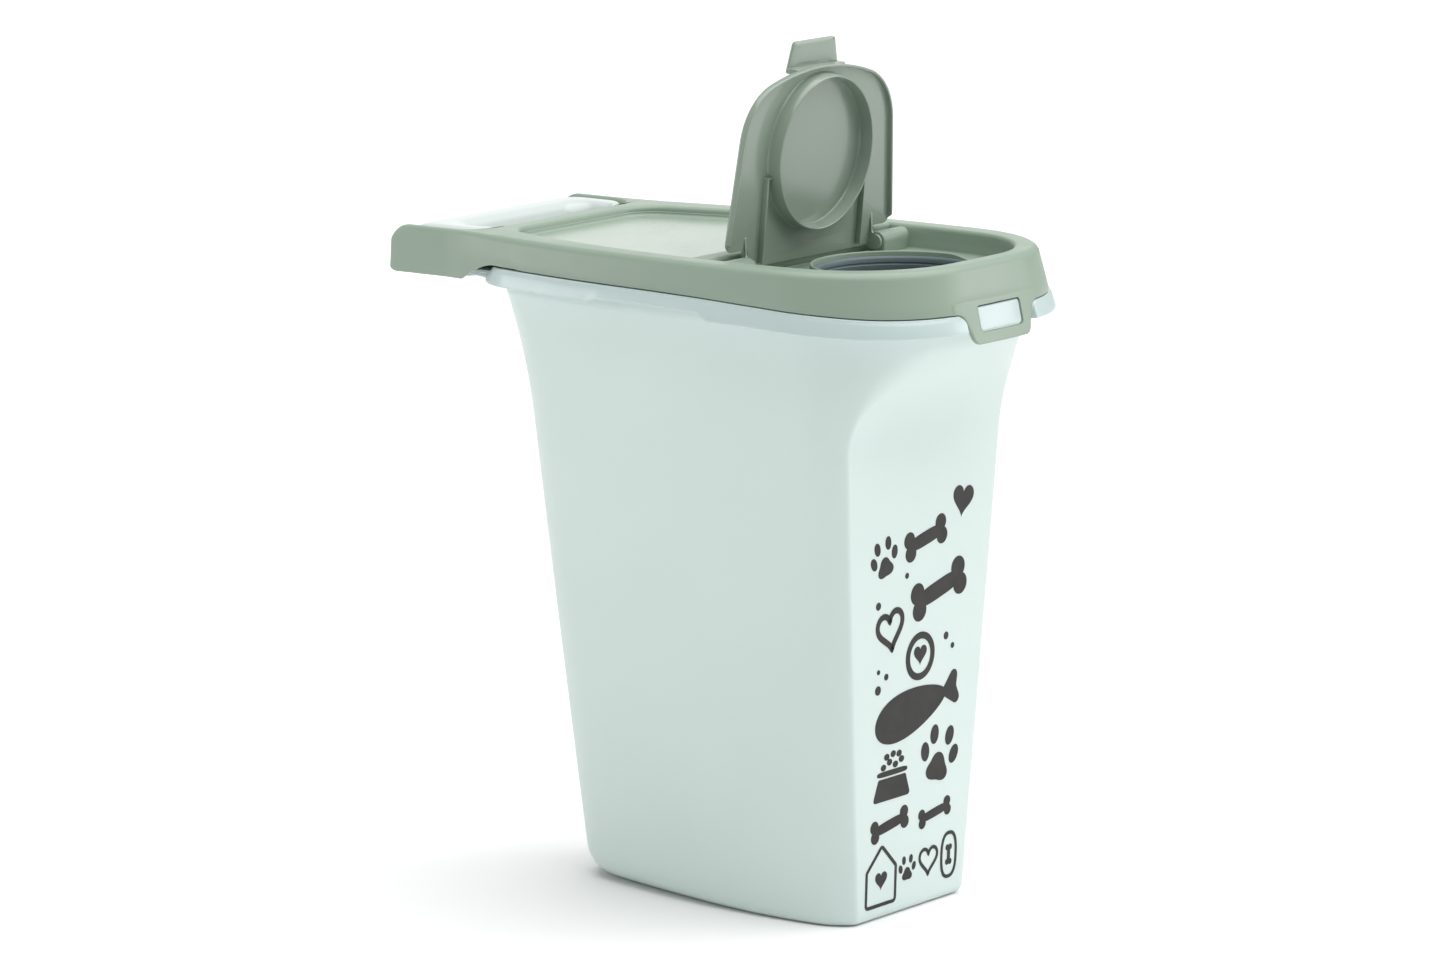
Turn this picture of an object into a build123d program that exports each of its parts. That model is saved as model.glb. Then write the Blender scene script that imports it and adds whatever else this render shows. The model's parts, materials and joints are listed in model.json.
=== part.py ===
from build123d import *

import os
from math import cos, radians, sin, sqrt

# Pet food bin: a tall tapered bucket with a clip-on lid, a flip-up pouring flap and a rear carrying
# handle. Millimetres. +Z is up, -Y is the front, and the origin is the centre of the base, on the
# floor. The lid is clipped on, and the pouring flap stands open, nearly upright.

os.makedirs("parts", exist_ok=True)

# ---- driving dimensions -------------------------------------------------------------------------
WALL = 2.2                # general wall of the mouldings
GAP = 0.4                 # clearance between pieces that part from each other
FAR = 300.0               # past the end of everything, for cutters

WIDEST_Y = -40.0          # the sides bow outwards, and are widest here

# bucket, whose plan grows with height and flares out below the rim
FLOOR = 2.5
BASE_FILLET = 7.0
FLARE_START = 285.0
BODY_TOP = 362.0
STATIONS = (0.0, 145.0, FLARE_START, 322.0, BODY_TOP)
# each of these is a size at the floor, its change for each mm of height and what the flare adds
BODY_HALF = (67.4, 0.0817, 5.2)
BODY_FRONT = (-123.0, -0.0623, -18.6)
BODY_REAR = (109.5, 0.0532, 4.1)
BODY_FRONT_ROUND = (38.0, 0.0415, 21.0)
BODY_REAR_ROUND = (40.0, -0.03, -5.2)
BODY_BOW = (422.0, 1.2, 0.0)
PANEL_Y = -112.0          # the flat front panel at the floor
PANEL_LEAN = 0.0367       # how far it comes forward for each mm of height
PANEL_FLARE = 41.0        # how far it turns forward at its top
PANEL_TOP = 350.0
UPSTAND_TOP = 387.5

# rim of the bucket, a flange with a skirt that hangs from it
FLANGE_TOP = 372.4
FLANGE_THICK = 2.2
RIM_BOTTOM = 363.5
RIM_HALF = 113.6
RIM_FRONT = -178.0
RIM_REAR = 148.0
RIM_DRAFT = 0.17
RIM_REAR_ROUND = 44.0
RIM_STEP_Z = 368.0        # the skirt is shorter along the middle of each side
RIM_STEP = (-44.0, 37.0)
PAD = (57.0, 78.0)        # half width from and to of the two pads that carry the handle
PAD_REAR = 178.0
PAD_ROOT = 130.0
PAD_RIBS = (58.0, 64.5, 70.5, 77.0)
RIB_HALF = 0.8
PEG_Y = 168.0
PEG_R = 3.0

# lid
LID_TOP = 396.0
LID_HALF = 107.5
LID_FRONT = -169.6
LID_REAR = 152.0
FRONT_ROUND = 84.0
REAR_ROUND = 30.0
FRONT_BOW = 400.0
SIDE_BOW = 855.0
SIDE_DRAFT = 0.17         # outwards for each mm down
FRONT_DRAFT = 0.225
SKIRT_BOTTOM = 373.0
ARM_OUT = 85.3            # outer and inner faces of the arms beside the handle
ARM_IN = 79.3
ARM_BOTTOM = 367.4
ARM_END = 213.0
ARM_START = 118.0         # where the arms' outer faces leave the lid's bowed sides
ARM_STRAIGHT = 170.0      # where they run straight back
ARCH = ((108.0, 373.0), (116.0, 375.2), (141.0, 373.8), (156.0, 367.4))  # edge before each arm
GAP_CORNER = 21.0         # rounding of the handle gap's inner corners
POCKET_HALF = 91.0        # sunken middle of the lid, at the top of its walls
POCKET_FRONT = -156.0
POCKET_REAR = 138.0
POCKET_DRAFT = 0.2
POCKET_FRONT_ROUND = 66.0
POCKET_REAR_ROUND = 24.0
POCKET_BOW = 600.0
WELL_FLOOR = 382.0        # front part of the pocket, around the spout
WELL_BACK = -32.0
RECESS_FLOOR = 390.5      # rear part of the pocket
RECESS_FRONT = -20.0

# pouring spout and flap
HINGE_Y = -41.0
HINGE_Z = 388.5
FLAP_OPEN = 84.5          # degrees that the flap stands open from shut
PIN_R = 2.4
PIN_CLEAR = 0.08
PIN_END = 70.0
EAR = (61.7, 63.8)        # inner and outer faces of the flap's two hinge ears
NOSE_R = 6.0
FLAP_FACE = 4.3           # inner face of the flap's plate above the hinge axis, when shut
FLAP_THICK = 1.8
FLAP_LIP = 2.7            # rim around the flap's inner side
FLAP_FOOT = 9.0           # from the hinge axis to the foot of the flap's wings
FLAP_FOOT_HALF = 81.7
FLAP_CORNER = (71.2, -96.5)  # where its side and its arched tip would meet without rounding
FLAP_TIP = 112.0
SPOUT_REACH = 62.0        # from the hinge axis to the centre of the spout
PLUG_R = 46.4
PLUG_WALL = 1.8
PLUG_DEPTH = 9.2
TAB_UNDER = 10.3          # the thumb tab passes over the lid's front band
TAB_TIP = 127.6
SPOUT_Y = HINGE_Y - SPOUT_REACH
COLLAR_R = 52.0
COLLAR_BORE = 50.2
COLLAR_TOP = 388.5
COLLAR_LIP = 386.2
COLLAR_BOTTOM = 374.0
SEAL_R = 47.0             # inner radius of the soft ring in the collar
SEAL = (376.0, 385.6)

# front catch
CATCH_TOP = 376.0
CATCH_BOTTOM = 350.4
CATCH_THICK = 2.4
CATCH_ROOT = 40.0
CATCH_TIP = 26.0
WINDOW_HALF = 20.6
WINDOW = (358.5, 371.9)
LUG_GAP = 0.5

# carrying handle
HANDLE_HALF = 78.6
HANDLE_FRONT = LID_REAR + 0.6
HANDLE_END = 207.0
HANDLE_WALL = 2.6
HAND_HALF = 56.0
HAND_DEEP = 180.0
HANDLE_CORNER = 9.0       # roundings of its rear corners, the hand gap's corners and its top edges
HAND_CORNER = 12.0
HANDLE_ROUND = 6.5


# ---- shared shapes ------------------------------------------------------------------------------
def plan(half, front, rear, front_round, rear_round, bow, front_bow=900.0):
    """A plan outline: bowed front and sides, a straight rear, and four rounded corners."""

    def side_x(y):
        return half - bow + sqrt(bow**2 - (y - WIDEST_Y) ** 2)

    x = half
    for _ in range(4):
        y = front + front_bow - sqrt(front_bow**2 - x**2)
        x = side_x(y)
    rear_x = side_x(rear)
    with BuildSketch() as sketch:
        with BuildLine():
            ThreePointArc((-x, y), (0, front), (x, y))
            ThreePointArc((x, y), (half, WIDEST_Y), (rear_x, rear))
            Line((rear_x, rear), (-rear_x, rear))
            ThreePointArc((-rear_x, rear), (-half, WIDEST_Y), (-x, y))
        make_face()
        fillet(sketch.vertices().filter_by(lambda v: v.Y < WIDEST_Y), front_round)
        fillet(sketch.vertices().filter_by(lambda v: v.Y > rear - 0.01), rear_round)
    return sketch.sketch


def stack(shapes, straight=True):
    """One solid through a stack of plan outlines."""
    with BuildPart() as block:
        for shape in shapes:
            add(shape)
        loft(ruled=straight)
    return block.part


def flare(z, end=BODY_TOP):
    """0 up to the start of the flare, then rising as a square to 1 at its end."""
    return min(1.0, max(0.0, (z - FLARE_START) / (end - FLARE_START))) ** 2


def grown(law, z):
    """A size of the bucket at a height: its size at the floor, plus its growth and its flare."""
    return law[0] + law[1] * z + law[2] * flare(z)


def body_plan(z, inset=0.0):
    """The bucket's plan at a height, less an even inset."""
    shape = plan(
        grown(BODY_HALF, z) - inset,
        grown(BODY_FRONT, z) + inset,
        grown(BODY_REAR, z) - inset,
        grown(BODY_FRONT_ROUND, z) - inset,
        grown(BODY_REAR_ROUND, z) - inset,
        grown(BODY_BOW, z),
    )
    return Pos(0, 0, z) * shape


def panel_y(z):
    """Where the flat front panel stands at a height."""
    return PANEL_Y - PANEL_LEAN * z - PANEL_FLARE * flare(z, PANEL_TOP)


def ahead_of_panel(shift):
    """Everything in front of the front panel, as a block that runs across the bin."""
    low = -20.0
    rise = (PANEL_TOP - FLARE_START) / 5
    curve = [(panel_y(FLARE_START + rise * i) + shift, FLARE_START + rise * i) for i in range(6)]
    with BuildPart() as block:
        with BuildSketch(Plane.YZ):
            with BuildLine():
                Line((panel_y(low) + shift, low), curve[0])
                Spline(*curve, tangents=[(-PANEL_LEAN, 1), (-2.2 * PANEL_FLARE / 65, 1)])
                Polyline(curve[-1], (-FAR, PANEL_TOP), (-FAR, low), (panel_y(low) + shift, low))
            make_face()
        extrude(amount=FAR / 2, both=True)
    return block.part


def skirt_plan(z, inset=0.0):
    """The lid's skirt at a height, without the arms, less an even inset."""
    down = LID_TOP - z
    half = LID_HALF + SIDE_DRAFT * down - inset
    front = LID_FRONT - FRONT_DRAFT * down + inset
    rear = LID_REAR - inset
    shape = plan(half, front, rear, FRONT_ROUND - inset, REAR_ROUND - inset, SIDE_BOW, FRONT_BOW)
    return Pos(0, 0, z) * shape


def rim_plan(z, inset=0.0):
    """The bucket's rim at a height, less an even inset."""
    out = RIM_DRAFT * (FLANGE_TOP - z) - inset
    front_round, rear_round = FRONT_ROUND + out, RIM_REAR_ROUND + out
    shape = plan(
        RIM_HALF + out, RIM_FRONT - out, RIM_REAR + out, front_round, rear_round, SIDE_BOW, FRONT_BOW
    )
    return Pos(0, 0, z) * shape


def pocket_plan(z, grow=0.0):
    """The sunken middle of the lid at a height, grown by an even margin."""
    out = grow - POCKET_DRAFT * (LID_TOP - z)
    front_round, rear_round = POCKET_FRONT_ROUND + out, POCKET_REAR_ROUND + out
    shape = plan(
        POCKET_HALF + out, POCKET_FRONT - out, POCKET_REAR + out, front_round, rear_round, POCKET_BOW
    )
    return Pos(0, 0, z) * shape


def slab(y_from, y_to, z_from, z_to, half=FAR / 2):
    """A block across the bin between two places along Y and two heights."""
    block = Box(2 * half, y_to - y_from, z_to - z_from, align=(Align.CENTER, Align.MIN, Align.MIN))
    return Pos(0, y_from, z_from) * block


# ---- bucket -------------------------------------------------------------------------------------
inside = stack([body_plan(max(z, FLOOR), WALL) for z in STATIONS], straight=False)
inside = inside - ahead_of_panel(WALL)
neck = stack([body_plan(BODY_TOP, WALL), Pos(0, 0, UPSTAND_TOP + 1 - BODY_TOP) * body_plan(BODY_TOP, WALL)])

# the rim: flange and skirt, with a shorter skirt along the sides and a pocket behind the catch
rim = stack([rim_plan(RIM_BOTTOM), rim_plan(FLANGE_TOP)])
rim = rim - stack([rim_plan(RIM_BOTTOM - 1, WALL), rim_plan(FLANGE_TOP - FLANGE_THICK, WALL)])
with BuildPart() as side_step:
    with BuildSketch(Plane.YZ):
        with BuildLine():
            Polyline(
                (RIM_STEP[0] - 5, RIM_BOTTOM - 1),
                (RIM_STEP[0], RIM_STEP_Z),
                (RIM_STEP[1], RIM_STEP_Z),
                (RIM_STEP[1] + 5, RIM_BOTTOM - 1),
                close=True,
            )
        make_face()
    extrude(amount=FAR / 2, both=True)
rim = rim - side_step.part

behind_catch = CATCH_THICK + LUG_GAP
catch_bay = slab(-FAR, -140, CATCH_BOTTOM, FLANGE_TOP + 1, CATCH_ROOT + 1)
bay_wall = stack([skirt_plan(WINDOW[0], behind_catch), skirt_plan(FLANGE_TOP, behind_catch)])
bay_wall = bay_wall - stack(
    [skirt_plan(WINDOW[0] - 1, behind_catch + 2), skirt_plan(FLANGE_TOP - FLANGE_THICK, behind_catch + 2)]
)
rim = (rim - catch_bay) + (bay_wall & catch_bay)

with BuildPart() as bucket:
    add(stack([body_plan(z) for z in STATIONS], straight=False))
    fillet(bucket.edges().group_by(Axis.Z)[0], BASE_FILLET)
    add(ahead_of_panel(0), mode=Mode.SUBTRACT)
    add(stack([body_plan(BODY_TOP), Pos(0, 0, UPSTAND_TOP - BODY_TOP) * body_plan(BODY_TOP)]))
    add(rim)
    # lug that the catch's window closes round
    with BuildSketch(Plane.XZ.offset(165)):
        with Locations((0, (WINDOW[0] + WINDOW[1]) / 2)):
            RectangleRounded(2 * WINDOW_HALF - 1.0, WINDOW[1] - WINDOW[0] - 1.0, 2.0)
    extrude(amount=-(LID_FRONT - FRONT_DRAFT * (LID_TOP - WINDOW[0]) + CATCH_THICK + GAP) - 165)
    # pads and ribs under the handle's two feet
    for side in (-1, 1):
        centre = side * (PAD[0] + PAD[1]) / 2
        with BuildSketch(Plane.XY.offset(FLANGE_TOP - FLANGE_THICK)):
            with Locations((centre, (PAD_ROOT + PAD_REAR) / 2)):
                Rectangle(PAD[1] - PAD[0], PAD_REAR - PAD_ROOT)
        extrude(amount=FLANGE_THICK)
        for x in PAD_RIBS:
            with BuildSketch(Plane.YZ.offset(side * x)):
                with BuildLine():
                    Polyline(
                        (PAD_ROOT + 3, FLANGE_TOP - 1.4),
                        (PAD_ROOT + 3, RIM_BOTTOM - 6),
                        (RIM_REAR + 2, RIM_BOTTOM),
                        (PAD_REAR - 4, FLANGE_TOP - 1.9),
                        close=True,
                    )
                make_face()
            extrude(amount=RIB_HALF, both=True)
        with Locations((centre, PEG_Y, FLANGE_TOP)):
            Cylinder(PEG_R + PIN_CLEAR, 20, mode=Mode.SUBTRACT)
    add(inside, mode=Mode.SUBTRACT)
    add(neck, mode=Mode.SUBTRACT)
bucket.part.label = "bucket"
print("bucket", bucket.part.volume, len(bucket.part.solids()), bucket.part.is_valid)

# ---- carrying handle ----------------------------------------------------------------------------
def handle_outline(inset):
    """The C-shaped handle from above: two feet and a grip, less an even inset."""
    deep = HANDLE_END - HANDLE_FRONT - 2 * inset
    with BuildSketch() as sketch:
        with Locations((0, HANDLE_FRONT + inset)):
            Rectangle(2 * (HANDLE_HALF - inset), deep, align=(Align.CENTER, Align.MIN))
            fillet(sketch.vertices().group_by(Axis.Y)[0], GAP_CORNER - inset)
            fillet(sketch.vertices().group_by(Axis.Y)[-1], HANDLE_CORNER - inset)
        Rectangle(
            2 * (HAND_HALF + inset), HAND_DEEP + inset, align=(Align.CENTER, Align.MIN), mode=Mode.SUBTRACT
        )
        inner = sketch.vertices().filter_by(lambda v: abs(v.Y - HAND_DEEP - inset) < 0.01)
        fillet(inner, HAND_CORNER + inset)
    return sketch.sketch


with BuildPart() as carry_handle:
    with BuildSketch(Plane.XY.offset(FLANGE_TOP)):
        add(handle_outline(0))
    extrude(amount=LID_TOP - FLANGE_TOP)
    fillet(carry_handle.edges().group_by(Axis.Z)[-1], HANDLE_ROUND)
    with BuildSketch(Plane.XY.offset(FLANGE_TOP)):
        add(handle_outline(HANDLE_WALL))
    extrude(amount=LID_TOP - FLANGE_TOP - 4, mode=Mode.SUBTRACT)
    with Locations([(side * (PAD[0] + PAD[1]) / 2, PEG_Y, FLANGE_TOP - 3.5) for side in (-1, 1)]):
        Cylinder(PEG_R, 24, align=(Align.CENTER, Align.CENTER, Align.MIN))
carry_handle.part.label = "carry_handle"
print("handle", carry_handle.part.volume, len(carry_handle.part.solids()), carry_handle.part.is_valid)

# ---- lid ----------------------------------------------------------------------------------------
def lid_plan(z):
    """The whole lid at a height, with its two arms."""
    down = LID_TOP - z
    half = LID_HALF + SIDE_DRAFT * down
    front = LID_FRONT - FRONT_DRAFT * down
    arm = ARM_OUT + SIDE_DRAFT * down / 2
    turn_x = half - SIDE_BOW + sqrt(SIDE_BOW**2 - (ARM_START - WIDEST_Y) ** 2)
    lean = (ARM_START - WIDEST_Y) / SIDE_BOW
    x = half
    for _ in range(4):
        y = front + FRONT_BOW - sqrt(FRONT_BOW**2 - x**2)
        x = half - SIDE_BOW + sqrt(SIDE_BOW**2 - (y - WIDEST_Y) ** 2)
    with BuildSketch() as sketch:
        with BuildLine():
            ThreePointArc((-x, y), (0, front), (x, y))
            for side in (1, -1):
                ThreePointArc((side * x, y), (side * half, WIDEST_Y), (side * turn_x, ARM_START))
                Spline(
                    (side * turn_x, ARM_START),
                    (side * arm, ARM_STRAIGHT),
                    tangents=[(-side * lean, 1), (0, 1)],
                )
                Polyline(
                    (side * arm, ARM_STRAIGHT),
                    (side * arm, ARM_END + 1),
                    (side * ARM_IN, ARM_END + 1),
                    (side * ARM_IN, LID_REAR),
                )
            Line((ARM_IN, LID_REAR), (-ARM_IN, LID_REAR))
        make_face()
        fillet(sketch.vertices().filter_by(lambda v: v.Y < WIDEST_Y), FRONT_ROUND)
        fillet(sketch.vertices().filter_by(lambda v: abs(v.Y - LID_REAR) < 0.01), GAP_CORNER)
    return Pos(0, 0, z) * sketch.sketch


pocket = stack([pocket_plan(WELL_FLOOR), pocket_plan(LID_TOP + 1)])
pocket_shell = stack([pocket_plan(WELL_FLOOR - WALL, WALL), pocket_plan(LID_TOP - 1, WALL)])
well = pocket & slab(-FAR, WELL_BACK, WELL_FLOOR, LID_TOP + 2)
recess = pocket & slab(RECESS_FRONT, FAR, RECESS_FLOOR, LID_TOP + 2)
well_shell = pocket_shell & slab(-FAR, WELL_BACK + WALL, WELL_FLOOR - WALL, LID_TOP)
recess_shell = pocket_shell & slab(WELL_BACK, FAR, RECESS_FLOOR - WALL, LID_TOP)
underside = stack([skirt_plan(ARM_BOTTOM - 2, WALL), skirt_plan(LID_TOP - WALL, WALL)])
underside = underside - well_shell - recess_shell
between_arms = slab(100, FAR, ARM_BOTTOM - 1, SKIRT_BOTTOM, ARM_IN)
catch_slot = slab(-FAR, -160, ARM_BOTTOM, CATCH_TOP + 0.3, CATCH_ROOT + 0.3)

with BuildPart() as lid:
    add(stack([lid_plan(ARM_BOTTOM), lid_plan(LID_TOP)]))
    # side view of the lid: the skirt's lower edge, the arch before each arm and the arm's end
    with BuildSketch(Plane.YZ) as side_view:
        with BuildLine():
            Polyline(ARCH[0], (-FAR, SKIRT_BOTTOM), (-FAR, LID_TOP), (ARM_END, LID_TOP))
            Polyline((ARM_END, LID_TOP), (ARM_END, ARM_BOTTOM), ARCH[3])
            ThreePointArc(ARCH[3], ARCH[2], ARCH[1])
            Line(ARCH[1], ARCH[0])
        make_face()
        fillet(side_view.vertices().filter_by(lambda v: v.Y > LID_TOP - 1 and v.X > 0), 9)
        fillet(side_view.vertices().filter_by(lambda v: v.Y < ARM_BOTTOM + 1 and v.X > 200), 6)
    extrude(amount=FAR / 2, both=True, mode=Mode.INTERSECT)
    top = lid.faces().sort_by(Axis.Z)[-1]
    fillet(top.outer_wire().edges().filter_by(lambda e: e.center().Y < 190), 2.4)
    add(underside, mode=Mode.SUBTRACT)
    add(well, mode=Mode.SUBTRACT)
    add(recess, mode=Mode.SUBTRACT)
    # spout collar, higher at the rear, with a ledge under the soft ring
    with BuildSketch(Plane.XY.offset(COLLAR_BOTTOM)):
        with Locations((0, SPOUT_Y)):
            Circle(COLLAR_R)
    extrude(amount=COLLAR_TOP - COLLAR_BOTTOM)
    with BuildSketch(Plane.YZ):
        with BuildLine():
            Polyline(
                (SPOUT_Y - 3, COLLAR_TOP + 0.1),
                (SPOUT_Y - 14, COLLAR_LIP),
                (POCKET_FRONT + 4, COLLAR_LIP),
                (POCKET_FRONT + 4, COLLAR_TOP + 0.1),
                close=True,
            )
        make_face()
    extrude(amount=COLLAR_R, both=True, mode=Mode.SUBTRACT)
    with BuildSketch(Plane.XY.offset(SEAL[0])):
        with Locations((0, SPOUT_Y)):
            Circle(COLLAR_BORE)
    extrude(amount=40, mode=Mode.SUBTRACT)
    with BuildSketch(Plane.XY.offset(COLLAR_BOTTOM - 5)):
        with Locations((0, SPOUT_Y)):
            Circle(SEAL_R + 0.5)
    extrude(amount=40, mode=Mode.SUBTRACT)
    # noses on the well's side walls, which hold the flap's hinge pins
    for side in (-1, 1):
        with BuildSketch(Plane.YZ.offset(side * (EAR[1] + GAP))):
            with Locations((HINGE_Y, HINGE_Z)):
                Circle(NOSE_R)
            with Locations((HINGE_Y, HINGE_Z)):
                Rectangle(2 * NOSE_R, HINGE_Z - WELL_FLOOR + 1, align=(Align.CENTER, Align.MAX))
        extrude(amount=side * (POCKET_HALF + 1 - EAR[1]))
        with BuildSketch(Plane.YZ.offset(side * (EAR[1] - 1))):
            with Locations((HINGE_Y, HINGE_Z)):
                Circle(PIN_R + PIN_CLEAR)
        extrude(amount=side * (PIN_END + GAP + 1 - EAR[1]), mode=Mode.SUBTRACT)
    # opening in the skirt that takes the root of the catch
    add(catch_slot, mode=Mode.SUBTRACT)
    # between the arms the lid stops at its skirt's edge, above the handle's pads
    add(between_arms, mode=Mode.SUBTRACT)
lid.part.label = "lid"
print("lid", lid.part.volume, len(lid.part.solids()), lid.part.is_valid)

# ---- front catch --------------------------------------------------------------------------------
with BuildPart() as catch_tab:
    add(stack([skirt_plan(CATCH_BOTTOM), skirt_plan(CATCH_TOP)]))
    add(
        stack([skirt_plan(CATCH_BOTTOM, CATCH_THICK), skirt_plan(CATCH_TOP, CATCH_THICK)]),
        mode=Mode.SUBTRACT,
    )
    with BuildSketch(Plane.XZ.offset(150)) as front_view:
        with BuildLine():
            for side in (-1, 1):
                Polyline(
                    (0, CATCH_TOP),
                    (side * CATCH_ROOT, CATCH_TOP),
                    (side * CATCH_ROOT, 373.0),
                    (side * 31.0, 369.0),
                    (side * CATCH_TIP, CATCH_BOTTOM),
                    (0, CATCH_BOTTOM),
                )
        make_face()
        fillet(front_view.vertices().filter_by(lambda v: v.Y < CATCH_BOTTOM + 1 and abs(v.X) > 1), 5)
        fillet(front_view.vertices().filter_by(lambda v: 368 < v.Y < 370), 7)
        with Locations((0, (WINDOW[0] + WINDOW[1]) / 2)):
            RectangleRounded(2 * WINDOW_HALF, WINDOW[1] - WINDOW[0], 2.5, mode=Mode.SUBTRACT)
    extrude(amount=50, mode=Mode.INTERSECT)
catch_tab.part.label = "catch_tab"
print("catch", catch_tab.part.volume, len(catch_tab.part.solids()), catch_tab.part.is_valid)

# ---- spout seal ---------------------------------------------------------------------------------
with BuildPart() as spout_seal:
    with BuildSketch(Plane.XY.offset(SEAL[0])):
        with Locations((0, SPOUT_Y)):
            Circle(COLLAR_BORE)
            Circle(SEAL_R, mode=Mode.SUBTRACT)
    extrude(amount=SEAL[1] - SEAL[0])
    fillet(spout_seal.edges().group_by(Axis.Z)[-1].sort_by(SortBy.RADIUS)[0], 1.2)
spout_seal.part.label = "spout_seal"

# ---- pouring flap -------------------------------------------------------------------------------
# Sketches on the flap's plane use the shut flap's plan: X across, Y from the hinge axis towards the
# rear, and heights above the axis. The plane is turned back by the angle that the flap stands open.
turn = radians(FLAP_OPEN)
flap_plane = Plane(origin=(0, HINGE_Y, HINGE_Z), x_dir=(1, 0, 0), z_dir=(0, sin(turn), cos(turn)))


def hinge_plane(x):
    """The flap's own side view at a place along the hinge axis: X to the rear, Y up, when shut."""
    return Plane(origin=(x, HINGE_Y, HINGE_Z), x_dir=(0, cos(turn), -sin(turn)), z_dir=(1, 0, 0))


with BuildSketch() as flap_outline:
    with BuildLine():
        Polyline((FLAP_CORNER[0], FLAP_CORNER[1]), (FLAP_FOOT_HALF, -FLAP_FOOT), (0, -FLAP_FOOT))
        Polyline((-FLAP_CORNER[0], FLAP_CORNER[1]), (-FLAP_FOOT_HALF, -FLAP_FOOT), (0, -FLAP_FOOT))
        ThreePointArc(
            (-FLAP_CORNER[0], FLAP_CORNER[1]), (0, -FLAP_TIP), (FLAP_CORNER[0], FLAP_CORNER[1])
        )
    make_face()
    fillet(flap_outline.vertices().filter_by(lambda v: abs(v.Y - FLAP_CORNER[1]) < 0.01), 38)

with BuildPart() as pour_flap:
    # plate, with the stretch between the ears carried down past the axis
    with BuildSketch(flap_plane.offset(FLAP_FACE)):
        add(flap_outline.sketch)
        Rectangle(2 * EAR[1], FLAP_FOOT + 4, align=(Align.CENTER, Align.MAX))
        Rectangle(2 * EAR[1], 2.5, align=(Align.CENTER, Align.MIN))
    extrude(amount=FLAP_THICK)
    # lip around the inner side, open between the ears
    with BuildSketch(flap_plane.offset(FLAP_FACE - FLAP_LIP)):
        add(flap_outline.sketch)
        offset(flap_outline.sketch, amount=-1.6, kind=Kind.INTERSECTION, mode=Mode.SUBTRACT)
        with Locations((0, -FLAP_FOOT)):
            Rectangle(2 * EAR[0], 8, mode=Mode.SUBTRACT)
    extrude(amount=FLAP_LIP)
    # ring that plugs the spout
    with BuildSketch(flap_plane.offset(FLAP_FACE - PLUG_DEPTH)):
        with Locations((0, -SPOUT_REACH)):
            Circle(PLUG_R)
            Circle(PLUG_R - PLUG_WALL, mode=Mode.SUBTRACT)
    extrude(amount=PLUG_DEPTH)
    # two ribs from the foot to the ring
    with BuildSketch(flap_plane.offset(FLAP_FACE - 3.7)):
        for side in (-1, 1):
            with Locations((side * 48.6, 0)):
                Rectangle(1.2, 50.6, align=(Align.CENTER, Align.MAX))
            with Locations((side * 47.0, -50)):
                Rectangle(4.4, 1.2)
    extrude(amount=3.7)
    # hinge ears and their pins
    for side in (-1, 1):
        with BuildSketch(hinge_plane(side * EAR[0])):
            Circle(4.8)
            with BuildLine():
                Polyline((2.5, 5), (-14, 5), (-14, FLAP_FACE), (-4.2, -2.4), (2.5, -4), close=True)
            make_face()
        extrude(amount=side * (EAR[1] - EAR[0]))
        with BuildSketch(hinge_plane(side * EAR[0])):
            Circle(PIN_R)
        extrude(amount=side * (PIN_END - EAR[0]))
    # thumb tab, raised to pass over the lid's front band
    with BuildSketch(flap_plane.offset(FLAP_FACE)):
        with Locations((0, -FLAP_TIP + 1.2)):
            Rectangle(49, 4.4)
    extrude(amount=TAB_UNDER + 2 - FLAP_FACE)
    with BuildSketch(flap_plane.offset(TAB_UNDER)) as tab:
        with BuildLine():
            Polyline((-25, -FLAP_TIP), (25, -FLAP_TIP), (20, -TAB_TIP), (-20, -TAB_TIP), close=True)
        make_face()
        fillet(tab.vertices().group_by(Axis.Y)[0], 2.5)
    extrude(amount=2)
pour_flap.part.label = "pour_flap"
print("flap", pour_flap.part.volume, len(pour_flap.part.solids()), pour_flap.part.is_valid)

for piece in (bucket, carry_handle, lid, catch_tab, spout_seal, pour_flap):
    export_step(piece.part, f"parts/{piece.part.label}.step")
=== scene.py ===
# %% [markdown]
# # A pet food bin
# A tall off-white bucket carries a sage green lid. The lid has a pouring flap that stands open, a spout
# with a soft ring, a catch for one finger at the front, and two arms that flank a white carrying handle.
# The CAD model fixes every size and every joint. Here each moulding is made again as a smooth surface,
# so that its edges are rounded the way a mould rounds them, and it gets its plastic.

# %% Load the frame
import json
import math

import bpy
import numpy as np
from mathutils import Matrix, Vector


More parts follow.
